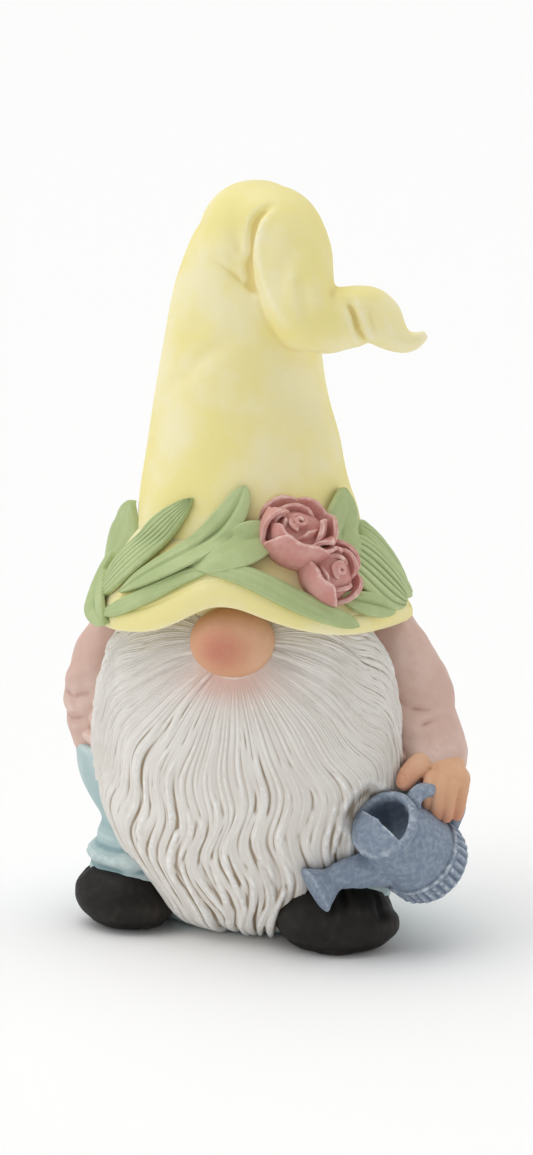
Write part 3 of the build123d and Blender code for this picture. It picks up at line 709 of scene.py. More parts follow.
def hair_routes(rows, columns):
    """For each column a route of hair in arc and height, from under the nose to the beard's edge."""
    mirrored = [(-turn, -arc, height) for turn, arc, height in HAIR_ENDS[:0:-1]]
    ends = curve(mirrored + HAIR_ENDS, 600)
    places = beard_place(ends[:, 1], ends[:, 2])
    steps = np.linalg.norm(np.diff(places, axis=0), axis=1) + 0.35 * np.abs(np.diff(ends[:, 0]))
    along = np.concatenate([[0], np.cumsum(steps)])
    wanted = np.linspace(0, along[-1], columns)
    turn, arc, height = (np.interp(wanted, along, ends[:, column]) for column in range(3))
    radial = np.stack([np.sin(np.radians(turn)), -np.cos(np.radians(turn))], axis=1)
    start = HAIR_SPOT + radial * 10.5
    end = np.stack([arc, height], axis=1)
    length = np.linalg.norm(end - start, axis=1)[:, None]
    outwards = np.sign(turn) * 0.95 * (np.abs(turn) / HAIR_FAN) ** 1.3
    landing = unit(np.stack([outwards, -np.ones(columns)], axis=1))
    lean_1, lean_2 = start + radial * length * 0.42, end - landing * length * 0.40
    t = np.linspace(0, 1, rows)[:, None, None]
    left = 1 - t
    spots = left ** 3 * start + 3 * left ** 2 * t * lean_1 + 3 * left * t ** 2 * lean_2 + t ** 3 * end
    # Long S-waves, stronger towards the ends
    gone = t[:, :, 0] * length[:, 0]
    direction = unit(np.gradient(spots, axis=0))
    sideways = np.stack([-direction[..., 1], direction[..., 0]], axis=-1)
    wave = np.sin(gone * 2 * pi / 50 + 1.5 * np.sin(np.radians(turn) * 2.3 + 1)
                  + 0.7 * np.sin(np.radians(turn) * 5))
    size = 3.7 * ramp(gone, 20, 75) * ramp(1.0 - t[:, :, 0], 0.0, 0.12)
    spots = spots + sideways * (wave * size)[..., None]
    spots[..., 1] = np.maximum(spots[..., 1], 0.5)
    return spots, turn


def lay_locks(relief, column_mm, rng, centres, begins, lengths, width, thick, rise, strands, tip=0.0,
              spread=None):
    """Lays locks of hair over what lies there already; each is a tapering ridge, grooved into strands.

    centres are columns; begins and lengths are shares of the way; width is half a lock in mm.
    With spread, half a lock is that many columns wide instead.
    """
    rows, columns = relief.shape
    for centre in centres:
        begin = rng.uniform(*begins)
        span = rng.uniform(*lengths)
        first, last = int(begin * (rows - 1)), int(min(begin + span, 1.03) * (rows - 1))
        row = np.arange(first, min(last, rows - 1) + 1)
        if len(row) < 4:
            continue
        share = (row - first) / (last - first)
        here = column_mm[row, int(np.clip(centre, 0, columns - 1))]
        sway = rng.uniform(0.2, 1.4) * np.sin(share * rng.uniform(2, 6) + rng.uniform(0, 6))
        drift = sway + rng.normal() * 1.6 * share ** 2
        middle = centre + drift * ramp(share, 0, 0.4) / here
        taper = 0.4 + 0.6 * np.sin(np.minimum(share * 1.7, 1) * pi / 2)
        half = rng.uniform(0.75, 1.25) * width * taper * (1 - share ** 6)
        half = half / here if spread is None else np.maximum(half * 0 + spread * (1 - share ** 6), 0.2)
        half = np.maximum(half, 0.3)
        low, high = int(max((middle - half).min() - 1, 0)), int(min((middle + half).max() + 2, columns))
        if high - low < 3:
            continue
        x = (np.arange(low, high)[None, :] - middle[:, None]) / half[:, None]
        round_body = np.sqrt(np.clip(1 - x ** 2, 0, 1))
        count = max(int(rng.integers(strands[0], strands[1] + 1)), 1)
        bend = 0.6 * np.sin(share * 7 + centre)[:, None]
        groove = 0.5 - 0.5 * np.cos(pi * count * (x + 1) + bend) if count > 1 else 1 + 0 * x
        lifted = rng.uniform(*rise) * np.sin(np.clip(share, 0, 1) * pi * 0.5 + 0.3) + tip * share ** 3
        fade = (ramp(share, 0.0, 0.12) * (1 - 0.6 * share ** 5))[:, None]
        body = lifted[:, None] + round_body * thick * (0.56 + 0.44 * groove)
        value = body * fade - 0.3 * (1 - fade)
        block = relief[row[0]:row[-1] + 1, low:high]
        block[...] = np.where((np.abs(x) < 1) & (value > block), value, block)


def make_beard():
    rows, columns = ((126, 770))
    spots, turn = hair_routes(rows, columns)
    base = beard_place(spots[..., 0], spots[..., 1])
    across, along = np.gradient(base, axis=1), np.gradient(base, axis=0)
    column_mm = np.maximum(np.linalg.norm(across, axis=2), 0.02)
    out = unit(np.cross(along, across))
    outwards = base - v3(BEARD_MIDDLE, -10, 70)
    out *= np.sign((out * outwards).sum(axis=2))[..., None]
    rng = np.random.default_rng(12)
    relief = np.full((rows, columns), -0.5)
    even = (np.arange(BASE_LOCKS) + 0.5) / BASE_LOCKS * columns + rng.normal(0, 1.5, BASE_LOCKS)
    lay_locks(relief, column_mm, rng, even, (0, 0.01), (0.9, 1.2), 3, 1.5, (0, 0.7), (3, 4),
              spread=columns / BASE_LOCKS * 0.84)
    for count, *lock in LOCK_LAYERS:
        lay_locks(relief, column_mm, rng, rng.uniform(0, columns, count), *lock)
    # The tips at both sides stand off a little
    sides = np.concatenate([np.linspace(0.01, 0.32, 60), np.linspace(0.68, 0.99, 60)]) * columns
    lay_locks(relief, column_mm, rng, rng.permutation(sides), *SIDE_LOCKS, tip=2.4)
    for _ in range(2):
        relief[1:-1] = (relief[:-2] + 2 * relief[1:-1] + relief[2:]) / 4
    relief[:, 1:-1] = (relief[:, :-2] + 4 * relief[:, 1:-1] + relief[:, 2:]) / 6
    surface_points = base + out * relief[..., None]
    surface_points[..., 2] = np.maximum(surface_points[..., 2], 0.4)
    # The hair gives way to the watering can
    from_can = surface_points - CAN_BASE
    from_axis = from_can - (from_can @ CAN_AXIS)[..., None] * CAN_AXIS
    reach = np.linalg.norm(from_axis, axis=2)
    level = from_can @ CAN_AXIS
    inside = ramp(level, -8, -2) * ramp(-level, -50, -44)
    surface_points += (inside * ramp(-reach, -17, -11) * 6)[..., None] * v3(-0.3, 0.95, 0)
    # The hidden back closes towards a point inside the gnome
    points = np.vstack([surface_points.reshape(-1, 3), v3(0, -4, 75)[None]])
    faces = grid_faces(rows, columns, wrap_columns=False)
    rim = grid_rim(rows, columns)
    faces += [[b, a, rows * columns] for a, b in zip(rim, rim[1:] + rim[:1])]
    beard = make_object("beard_hair", points, faces)
    flip_outwards(beard)
    return beard


nose_low, nose_high = node_box("nose")
NOSE_CENTRE = v3((nose_low[0] + nose_high[0]) / 2, nose_low[1] + 14.5, nose_low[2] + 14)
beard = make_beard()
points = get_points(beard)
# The beard is tinted darker and pinker in a band just under the nose
under_nose = NOSE_CENTRE - v3(0, 8, 16)
gap = np.linalg.norm((points - under_nose) / v3(20, 30, 8), axis=1)
put_attribute(beard, "blush", 0.6 * bump(gap, 0, 1))
finish_piece(beard, "beard_paint", "beard", relief=4, relief_scale=0.2)


# ================================================================ nose
def make_nose():
    nose = fused("nose_ball", [ball(NOSE_CENTRE, v3(17.6, 14.6, 14.4), 48, 80),
                               ball(NOSE_CENTRE + v3(0, 9, 0), v3(11, 10, 9), 24, 40)], 0.7, smoothing=8)
    points = get_points(nose)
    push(nose, 0.35 * wobble(points, 26, 5))
    tip = NOSE_CENTRE + v3(-1, -14, -1)
    put_attribute(nose, "blush", 0.8 * bump(np.linalg.norm((points - tip) / v3(11, 12, 10), axis=1), 0, 1))
    return nose


finish_piece(make_nose(), "skin_paint", "nose")


# ================================================================ leaves
hat_tree = surface(hat)
brim_tree = surface(brim)


LEAF_ARC = 52           # mm of arc for each radian round the hat
LEAF_SLOPE = 1.12       # mm along the hat for each mm of height
LEAF_THICKNESS = 2.4
BACK_LEAF = [(-2, 0, 2.5, 0.4), (7, 7, 8, 1.2), (17, 16, 9.5, 1.6), (26, 25, 6, 1.6), (32, 32, 1.2, 1.0)]


def on_hat(angle, height):
    """The place on the hat or brim at an angle round it and a height, and the way outwards there."""
    outward = v3(sin(radians(angle)), -cos(radians(angle)), 0)
    start = HAT_AXIS + outward * 110 + v3(0, 0, height)
    best = None
    for tree in (hat_tree, brim_tree):
        spot, normal, _, gap = tree.ray_cast(Vector(start), Vector(-outward), 110)
        if spot is not None and (best is None or gap < best[2]):
            best = (np.array(spot), np.array(normal), gap)
    if best is None:
        return HAT_AXIS + outward * 60 + v3(0, 0, height), outward
    normal = best[1] + outward * 0.6
    return best[0], unit(normal)


def softened(grid, passes):
    """A grid of points or directions, blended with their neighbours along its rows and columns."""
    for _ in range(passes):
        grid[1:-1] = (grid[:-2] + 2 * grid[1:-1] + grid[2:]) / 4
        grid[:, 1:-1] = (grid[:, :-2] + 2 * grid[:, 1:-1] + grid[:, 2:]) / 4
    return grid


def leaf(index, route, veins, cup, fold_depth, vein_depth, twist):
    """A leaf on the hat, from rows of angle, height, half width and lift.

    It replaces the CAD leaf of its number. A cup above 0 turns the edges up,
    fold_depth presses the middle in, and twist tips the leaf sideways.
    """
    name = f"leaf_{index:02d}"
    rows, columns = ((52, 29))
    shares = 0.5 - 0.5 * np.cos(np.linspace(0, pi, rows))
    line = curve(route, 300)
    spine = np.stack([np.interp(shares, np.linspace(0, 1, 300), column) for column in line.T], axis=1)
    across = np.sin(np.linspace(-pi / 2, pi / 2, columns)) * 0.5 + np.linspace(-1, 1, columns) * 0.5
    flat = np.stack([np.radians(spine[:, 0]) * LEAF_ARC, spine[:, 1] * LEAF_SLOPE], axis=1)
    along = unit(np.gradient(flat, axis=0))
    sideways = np.stack([-along[:, 1], along[:, 0]], axis=1)
    place = np.zeros((rows, columns, 3))
    out = np.zeros((rows, columns, 3))
    height = np.zeros((rows, columns))
    for r, share in enumerate(shares):
        width = max(spine[r, 2] * (1 - abs(2 * share - 1) ** 7) ** 0.5, 0.12)
        for c, t in enumerate(across):
            ragged = 1 + 0.04 * sin(share * 11 + index * 2 + (3 if t > 0 else 0))
            spot = flat[r] + sideways[r] * t * width * ragged
            place[r, c], out[r, c] = on_hat(degrees(spot[0] / LEAF_ARC), spot[1] / LEAF_SLOPE)
            body = 1.5 * (1 - t * t) ** 0.7 * min(width / 5, 1)
            grooves = cos(veins * pi * t + 0.5 * sin(5 * share + index)) - 1
            vein = vein_depth * grooves * 0.5 * (1 - abs(t) ** 4)
            middle = -fold_depth * float(bump(t, 0, 0.2)) * sin(share * pi) ** 0.5
            height[r, c] = (spine[r, 3] + 1.1 + body + vein + middle + cup * t * t
                            + twist * t * sin(share * pi))
    place, out = softened(place, 6), unit(softened(out, 30))
    top = place + out * height[..., None]
    under = place + out * np.maximum(height - LEAF_THICKNESS, -0.8)[..., None]
    # The rim of the upper and the lower side meet
    for side in (0, -1):
        middle = (top[:, side] + under[:, side]) / 2
        top[:, side] = top[:, side] * 0.45 + middle * 0.55
        under[:, side] = under[:, side] * 0.45 + middle * 0.55
    rim = grid_rim(rows, columns)
    faces = sheet_faces(rows, columns, rim[:1] + rim[:0:-1])
    piece = make_object(name + "_blade", np.vstack([top.reshape(-1, 3), under.reshape(-1, 3)]), faces)
    flip_outwards(piece)
    modified(piece, "SUBSURF", levels=1, render_levels=1)
    return finish_piece(piece, "leaf_paint", name, relief=7, relief_scale=0.16)


# Number of the leaf: its route, veins, cup, fold depth, vein depth and twist
LEAVES = {
    7: ([(-84, 142, 4, 0), (-82, 152, 8, 2), (-80, 161, 9, 3.4), (-77, 170, 7.5, 3.8),
         (-73, 178.5, 3.5, 2.4)],
        3, 0.2, 0.5, 0.4, 6.0),
    3: ([(-50, 136, 1.6, 0.4), (-41, 140, 3.2, 0.9), (-31, 144.8, 3.5, 1.2), (-21, 150.5, 3.3, 1.2),
         (-11, 156.5, 2.8, 1.1), (1, 161, 2, 0.7)], 3, 0.2, 0.3, 0.28, 0),
    1: ([(-60, 142, 4.5, 0.6), (-54, 150, 7.8, 1.6), (-47, 158.5, 9, 2.2), (-38, 167.5, 8.6, 2.4),
         (-28, 176, 6.4, 2.2), (-17, 185.5, 3.2, 1.6)], 7, 0.1, 0.2, 0.8, 0),
    2: ([(-43, 146, 1.6, 0.6), (-34, 151.5, 4.0, 2), (-24, 157.5, 5.4, 2.8), (-13, 164, 6.4, 3.0),
         (-4, 170, 7.4, 2.8), (3.5, 177.5, 7.4, 2.6), (8.5, 185, 6.2, 2.4), (12, 191.5, 4, 1.8)],
        2, 0.4, 1.7, 0.2, -1.3),
    6: ([(-44, 134, 1.8, 0.6), (-53, 136.5, 5.4, 1.4), (-62, 142, 7.6, 1.8), (-69, 150, 7.0, 2.2),
         (-66, 157, 3.5, 1.8)], 3, 1.2, 1.6, 0.28, 0),
    5: ([(-8, 160, 2, 0.8), (-1, 162.5, 5, 2.2), (6, 166, 7.6, 3.4), (13, 169, 9, 4.2), (20, 171.5, 8, 3.8),
         (27, 173, 4, 2)], 1, 0.3, 0.5, 0.15, 0),
    4: ([(-14, 160.5, 1.4, 1.0), (-4, 161, 2.5, 1.8), (6, 160, 3.0, 2.6), (17, 156.2, 3.6, 3.0),
         (28, 150, 4.0, 3.0), (39, 143.6, 4.0, 2.8), (48, 139.2, 3.4, 2.2), (54, 136.4, 2.2, 1.4)],
        3, -1.0, 0.3, 0.4, 1.0),
    8: ([(50, 148, 2.5, 0.8), (57, 145, 4.6, 1.8), (65, 142, 4.8, 2.0), (74, 138.5, 2, 1.2)],
        1, 0.5, 1.4, 0.1, 0),
    9: ([(54, 158, 4, 0.6), (60, 166, 9.5, 1.8), (66, 173, 10.5, 2.6), (72, 180, 8.5, 3.0),
         (77, 186.5, 3.5, 2.2)],
        3, 0.3, 1.2, 0.5, 0),
    11: ([(84, 171, 5, 0.4), (92, 163, 11.5, 1.4), (100, 153.5, 13, 1.8), (107, 144.5, 11, 1.6),
          (112, 137, 4, 0.8)], 5, -0.3, 0.9, 0.9, 0),
    10: ([(61, 166, 7, 1.0), (68, 160.5, 12, 2.2), (76, 152.5, 13.5, 2.6), (83, 145.5, 11.5, 2.4),
          (89, 139.5, 6, 1.4)], 7, -0.4, 0.8, 1.2, 0),
}
for index, settings in LEAVES.items():
    leaf(index, *settings)
# The leaves round the back of the hat, high and low by turns
for index in range(5):
    start = 124 + 25 * index
    low = 138 if index % 2 == 0 else 146
    leaf(12 + index, [(start + turn, low + rise, width, lift) for turn, rise, width, lift in BACK_LEAF],
         5, 0.3, 0.6, 0.4, 0.6 * (-1) ** index)


# ================================================================ roses
def face_frame(direction):
    """Two directions square to a facing direction: the second is as near to upright as can be."""
    facing = unit(v3(*direction))
    level = unit(np.cross(v3(0, 0, 1), facing))
    return level, np.cross(facing, level), facing


def petal(radius, azimuth, span, low, high, raised, flare, peak, skew, lean):
    """A petal of a rose that faces +Z: a patch of a bowl, whose lip rolls outwards."""
    points, rows, columns = [], 16, 23
    for v in np.linspace(0, 1, rows):
        for u in np.linspace(-1, 1, columns):
            top = 1 - 0.34 * abs(u) ** 3 + peak * float(bump(u, skew, 0.34))
            polar = radians(low + (high - low) * v * top)
            roll = max(v - 0.7, 0) / 0.3
            r = radius * (sin(polar) + flare * roll ** 1.6 + lean * u)
            z = raised - radius * (cos(polar) + 0.35 * flare * roll ** 2.4)
            around = radians(azimuth + u * span * (0.78 + 0.22 * v))
            points.append((r * cos(around), r * sin(around), z))
    return np.array(points), grid_faces(rows, columns, wrap_columns=False)


def bud_spiral(radius, height, turns, start):
    """The rolled heart of a rose: a strip wound into a spiral."""
    points, rows, columns = [], 8, 60
    for v in np.linspace(0, 1, rows):
        for share in np.linspace(0, 1, columns):
            around = 2 * pi * turns * share
            r = radius * (0.10 + 0.90 * share) * (0.86 + 0.18 * v)
            z = start + height * v * (1 - 0.20 * share)
            points.append((r * cos(around), r * sin(around), z))
    return np.array(points), grid_faces(rows, columns, wrap_columns=False)


def rose_piece(name, shapes, solid, centre, direction, thickness, size):
    """Petals as one thick piece on a solid body, turned to face its direction on the hat."""
    turning = np.stack(face_frame(direction))
    turned = [(np.asarray(points) @ turning + centre, faces) for points, faces in shapes + [solid]]
    petals = make_object(name + "_petals", *joined(turned[:-1]))
    modified(petals, "SUBSURF", levels=1, render_levels=1)
    modified(petals, "SOLIDIFY", thickness=thickness * MM, offset=0.0)
    petal_faces = [list(face.vertices) for face in petals.data.polygons]
    piece = make_object(name + "_blossom", *joined([(get_points(petals), petal_faces), turned[-1]]))
    bpy.data.objects.remove(petals)
    modified(piece, "REMESH", mode="VOXEL", voxel_size=size * DETAIL * MM)
    relax(piece, 2)
    push(piece, 0.12 * wobble(get_points(piece), 5, 21))
    return finish_piece(piece, "rose_paint", name, relief=7, relief_scale=0.24)


def make_rose(name, centre, direction, r, outer_petals, inner_petals):
    """A rose; each petal is azimuth, share of the radius, half span, lip angle, flare, peak and skew."""
    def solid(height, width, thick, rows, around):
        return ball((0, 0, r * height), v3(r * width, r * width, r * thick), rows, around)

    rose_piece(name + "_heart", [bud_spiral(r * 0.27, r * 0.52, 1.7, r * 0.02)],
               solid(0.04, 0.25, 0.30, 12, 20), centre, direction, 1.5, 0.38)
    parts = (("inner", inner_petals, 24, r * 0.10, 0.09, solid(-0.12, 0.56, 0.40, 14, 24), 1.7, 0.42),
             ("outer", outer_petals, 14, 0, 0.05, solid(-0.30, 0.86, 0.62, 16, 28), 2.0, 0.46))
    for part, petals, low, raised, lean, body, thickness, size in parts:
        shapes = [petal(r * share, azimuth, span, low, lip, raised, flare, peak, skew, lean)
                  for azimuth, share, span, lip, flare, peak, skew in petals]
        rose_piece(f"{name}_{part}_petals", shapes, body, centre, direction, thickness, size)


make_rose("large_rose", v3(28.2, -48.5, 174.4), (0.36, -0.58, 0.73), 14.8,
          [(256, 1.0, 60, 124, 0.03, 0.10, -0.45), (352, 0.97, 44, 108, 0.14, 0.06, 0.2),
           (50, 0.95, 38, 103, 0.16, 0.05, 0.0),
           (103, 0.94, 42, 104, 0.16, 0.06, 0.0), (158, 0.93, 38, 114, 0.04, 0.34, 0.1)],
          [(218, 0.76, 56, 124, 0.02, 0.06, -0.4), (338, 0.72, 40, 122, 0.06, 0.16, 0.2),
           (80, 0.62, 56, 116, 0.10, 0.05, 0.0),
           (140, 0.60, 30, 126, 0.06, 0.22, 0.0), (300, 0.47, 58, 122, 0.04, 0.10, 0.0),
           (165, 0.45, 56, 124, 0.04, 0.10, 0.0)])
make_rose("small_rose", v3(42.6, -47.5, 158.4), (0.74, -0.58, 0.34), 13.2,
          [(205, 1.0, 62, 124, 0.02, 0.10, 0.3), (112, 0.98, 46, 110, 0.10, 0.24, -0.2),
           (28, 0.94, 44, 106, 0.06, 0.05, 0.0),
           (310, 0.96, 48, 104, 0.06, 0.05, 0.0)],
          [(100, 0.70, 52, 118, 0.06, 0.12, 0.2), (15, 0.70, 46, 116, 0.04, 0.05, 0.0),
           (195, 0.60, 48, 120, 0.04, 0.06, 0.0),
           (280, 0.62, 46, 112, 0.06, 0.05, 0.0), (60, 0.46, 60, 124, 0.04, 0.1, 0.0)])


# ================================================================ jumper and trousers
# Level sections: height, half width, half depth, centre y
TROUSER_SECTIONS = [(0.4, 45, 34, 3), (6, 50, 38, 2.5), (14, 56, 42, 2), (26, 60.5, 47, 1), (38, 65, 51, 0),
                    (50, 73, 55, 0), (61, 78, 57, 0), (75, 79.5, 57.5, 0)]
JUMPER_SECTIONS = [
    (72, 74, 55, 0), (78, 76, 56.5, 0), (90, 72.5, 55, -1), (108, 63.5, 51, -3), (126, 54, 47, -5),
    (143, 44, 42, -6)]


def lathe_shell(sections, rows, around):
    """A closed solid through level ellipses."""
    rings = curve(sections, rows)
    circle = np.linspace(0, 2 * pi, around, endpoint=False)
    points = np.vstack([np.stack([half_width * np.cos(circle), centre + half_depth * np.sin(circle),
                                  height + 0 * circle], axis=1)
                        for height, half_width, half_depth, centre in rings])
    return points, capped_faces(rows, around)


def make_trousers():
    leg_right = curve([(-41, -14, 46, 24), (-43.5, -16, 36, 21.5), (-46, -17.5, 29, 21.5),
                       (-47, -18, 25, 22.5)], 20)
    leg_left = curve([(38, -14, 46, 26), (39, -18, 36, 22.5), (40, -20, 29, 22), (40, -20, 26, 22.5)], 20)
    shapes = [lathe_shell(TROUSER_SECTIONS, 60, 140)]
    shapes += [tube(leg[:, :3], leg[:, 3], around=60, caps=3) for leg in (leg_right, leg_left)]
    trousers = fused("trousers_cloth", shapes, 1.1, smoothing=14)
    points = get_points(trousers)
    angle = np.degrees(np.arctan2(points[:, 0], -points[:, 1]))
    height = points[:, 2]
    # Soft folds that hang from the waist and gather above the hems
    amount = 0.55 * np.sin(np.radians(angle) * 9 + 0.06 * height) * ramp(height, 30, 62) * ramp(84, 60, 84)
    amount = amount * 0.6 + 0.5 * wobble(points * v3(1, 1, 0.45), 26, 8)
    # Rolled, slightly ragged hems
    leg = np.minimum(np.hypot(points[:, 0] + 45.5, points[:, 1] + 16),
                     np.hypot(points[:, 0] - 39.5, points[:, 1] + 18))
    near_leg = ramp(-leg, -38, -27)
    rings = np.sin(height * 0.75 + 0.04 * angle)
    amount += near_leg * 0.9 * rings * ramp(46 - height, 0, 14) * ramp(height, 18, 26)
    amount += near_leg * 1.5 * bump(height + 1.2 * wobble(points, 9, 23), 29, 2.4)
    low = ramp(height, 0.5, 6)
    push(trousers, amount * low)
    # Waistband and the seam down the back
    waist = [(78 * sin(a), 57.5 * cos(a), 66 + 1.5 * sin(3 * a)) for a in np.linspace(-1.9, 1.9, 50)]
    fold(trousers, waist, 0.9, 0.9)
    fold(trousers, [(0.5, 57.5, 66), (0, 57, 50), (0, 52, 32), (0, 45, 16)], 0.9, 1.0)
    for side in (-1, 1):
        fold(trousers, [(side * 22, 56, 58), (side * 24, 55, 44), (side * 34, 50, 37),
                        (side * 46, 44, 44), (side * 48, 45, 58)], 0.8, 0.8)
    relax(trousers, 1)
    return trousers


def make_jumper():
    jumper = fused("jumper_cloth", [lathe_shell(JUMPER_SECTIONS, 50, 140)], 1.1, smoothing=6)
    points = get_points(jumper)
    angle = np.degrees(np.arctan2(points[:, 0], -points[:, 1]))
    amount = 0.6 * wobble(points * v3(1, 1, 0.8), 30, 4)
    sag = np.sin(points[:, 2] * 0.32 + 2.0 * np.sin(np.radians(angle) * 2))
    amount += 0.5 * sag * ramp(120 - points[:, 2], 0, 40)
    # The hem rolls out over the trousers
    amount += 1.6 * bump(points[:, 2], 78.5, 2.6) - 0.8 * bump(points[:, 2], 83, 2.0)
    push(jumper, amount)
    return jumper


# ================================================================ sleeves
def make_sleeve(name, route, creases, hem):
    """A sleeve along rows of x, y, z, half width and half depth, with creases and a hem at its end."""
    spine = curve(route, 60)
    shell = tube(spine[:, :3], spine[:, 3], around=72, depths=spine[:, 4], side=v3(1, 0, 0), caps=5)
    sleeve = fused(name, [shell], 0.9, smoothing=6)
    points = get_points(sleeve)
    push(sleeve, 0.5 * wobble(points, 22, 31) + 0.22 * wobble(points, 9, 32))
    for line, width, depth in creases:
        fold(sleeve, line, width, depth)
    if hem:
        centre, radius = np.array(hem[0]), hem[1]
        points = get_points(sleeve)
        gap = np.linalg.norm(points - centre, axis=1)
        push(sleeve, 0.9 * bump(gap, radius, 1.8))
    relax(sleeve, 2)
    return sleeve


finish_piece(make_trousers(), "trouser_paint", "trousers", "left_cuff", "right_cuff", relief_scale=0.4)
finish_piece(make_jumper(), "jumper_paint", "jumper", relief_scale=0.4)

RIGHT_SLEEVE = [
    (-45, -2, 134, 13, 15), (-54, 0, 122, 15.5, 17), (-61, 0, 111, 18, 18.5), (-65, -2, 99, 18.5, 19),
    (-66.5, -5, 87, 17.5, 18), (-65.5, -8, 77, 14.5, 16)]
right_creases = [
    ([(-86, -8, 95), (-78, -19, 94), (-64, -24, 98)], 2.6, 1.6),
    ([(-86, -6, 86), (-79, -18, 84), (-68, -24, 87)], 2.6, 1.6),
    ([(-84, 2, 104), (-79, -12, 106), (-70, -19, 110)], 3.2, 0.9),
    ([(-86, 2, 98), (-82, 12, 92), (-72, 18, 86)], 2.4, 1.2),
    ([(-82, 6, 108), (-76, 15, 104), (-66, 18, 98)], 2.4, 1.0)]
finish_piece(make_sleeve("right_sleeve_cloth", RIGHT_SLEEVE, right_creases, None),
             "jumper_paint", "right_sleeve")

LEFT_SLEEVE = [
    (45, 0, 134, 13, 15), (52, 1, 122, 15.5, 17.5), (58.5, 0, 110, 18, 19), (64.5, -3.5, 98, 18.5, 19),
    (70, -9, 89, 17, 17), (75.5, -14.5, 83, 15.2, 14.8), (78.3, -17.8, 79.8, 14.2, 13.6)]
left_creases = [
    ([(60, -21, 104), (69, -23, 99), (78, -19, 97)], 1.6, 1.0),
    ([(64, -26, 97), (74, -27, 93), (84, -18, 95)], 1.5, 1.1),
    ([(66, -27, 88), (76, -27, 86), (86, -18, 89)], 2.2, 0.9),
    ([(74, 8, 104), (82, 4, 98), (86, -6, 93)], 2.4, 1.2),
    ([(66, 14, 100), (78, 10, 92), (88, 0, 86)], 2.4, 1.2)]
finish_piece(make_sleeve("left_sleeve_cloth", LEFT_SLEEVE, left_creases, ((81, -20.5, 74), 8.5)),
             "jumper_paint", "left_sleeve")


# ================================================================ shoes
SOLE_HEIGHT = 4         # below this the shoe flattens towards the ground


def make_shoe(name, place, turn, share, creases):
    """A bulbous shoe: a round toe and an ankle, rounded underneath down to a narrow footing."""
    a = radians(turn)
    forward, side = v3(sin(a), -cos(a), 0) * share, v3(cos(a), sin(a), 0) * share
    middle = v3(place[0], place[1], 0)
    shapes = [ball(middle + forward * 9 + v3(0, 0, 13.6), v3(23.5, 22.5, 15.0) * share, 30, 60, turn),
              ball(middle - forward * 14 + v3(0, 0, 12), v3(19, 18, 13.2) * share, 24, 48, turn),
              ball(middle - forward * 1 + v3(0, 0, 13.5), v3(20.5, 22, 15.5) * share, 24, 48, turn),
              ball(middle + side * 3 + forward * 12 + v3(0, 0, 10.5), v3(23, 19.5, 11) * share,
                   24, 48, turn)]
    shoe = fused(name, shapes, 0.9, smoothing=12)
    points = get_points(shoe)
    push(shoe, 0.5 * wobble(points, 24, 15) + 0.12 * wobble(points, 5, 16))
    for line, width, depth in creases:
        fold(shoe, [middle + side * x + forward * y + v3(0, 0, z) for x, y, z in line], width, depth)
    points = get_points(shoe)
    points[:, 2] = np.maximum(points[:, 2], 0)
    low = points[:, 2] < SOLE_HEIGHT
    points[low, 2] = points[low, 2] ** 2 / SOLE_HEIGHT
    set_points(shoe, points)
    return shoe


SHOE_CREASES = [
    ([(1, 6, 31), (3, 17, 29), (5, 26, 22), (6, 30, 16)], 1.7, 2.4),
    ([(6, 4, 30), (12, 12, 26), (17, 19, 19), (19, 22, 14)], 1.7, 2.2),
    ([(12, 0, 28), (19, 6, 23), (23, 9, 17)], 1.7, 1.6),
    ([(-5, 7, 30), (-10, 14, 27), (-14, 20, 21)], 1.8, 1.8)]
for name, place, turn, share, creases in (("right_shoe", (-47.5, -18), -24, 0.95, SHOE_CREASES[2:]),
                                          ("left_shoe", (38, -24.5), 12, 1.06, SHOE_CREASES)):
    shoe = make_shoe(name + "_cast", place, turn, share, creases)
    finish_piece(shoe, "shoe_paint", name, relief_scale=0.4)


# ================================================================ hand
def make_hand():
    shapes = [ball(v3(80.5, -20.5, 79), v3(8.4, 8.2, 8.0), 20, 40),
              ball(v3(83.0, -24, 75.2), v3(9.8, 9.0, 7.4), 20, 40),
              ball(v3(85.5, -27.5, 71.5), v3(10.2, 7.6, 7.4), 20, 40)]
    # Fingers, from the one next to the thumb: root, knuckle, joint, tip and thickness
    fingers = [((80.5, -28, 74), (80.8, -34.6, 72), (80.3, -37.5, 66), (79.4, -35, 60.5), 3.0),
               ((84.5, -28, 74), (85.0, -35.0, 71.4), (84.3, -37.8, 64.5), (83.0, -35, 58.2), 3.0),
               ((88.5, -26, 73), (89.2, -32.6, 70.6), (88.4, -35.4, 63.5), (86.9, -32.8, 56.8), 2.95),
               ((91.5, -23, 72), (92.8, -28.8, 69.2), (92.3, -31.5, 62.5), (90.6, -29.4, 57), 2.75)]
    for root, knuckle, joint, tip, thick in fingers:
        line = curve([root, knuckle, joint, tip], 24)
        shapes.append(tube(line, np.linspace(thick * 1.08, thick * 0.9, 24), around=24, caps=4))
    thumb = curve([(78.5, -25, 79), (75, -31.5, 77), (72, -36.5, 74), (71, -38, 71.5)], 24)
    shapes.append(tube(thumb, np.linspace(5.2, 3.9, 24), around=24, caps=4))
    hand = fused("left_hand_cast", shapes, 0.45, smoothing=4)
    points = get_points(hand)
    push(hand, 0.2 * wobble(points, 9, 51))
    # Thumb nail
    nail = v3(69.6, -41, 73.6)
    gap = np.linalg.norm(get_points(hand) - nail, axis=1)
    push(hand, -0.35 * bump(gap, 2.3, 0.6))
    tips = np.array([finger[3] for finger in fingers] + [(71, -38, 71.5)])
    points = get_points(hand)
    near = np.min(np.linalg.norm(points[:, None, :] - tips[None], axis=2), axis=1)
    put_attribute(hand, "blush", 0.55 * bump(near, 0, 7))
    return hand


finish_piece(make_hand(), "skin_paint", "left_hand", relief=7, relief_scale=0.35)


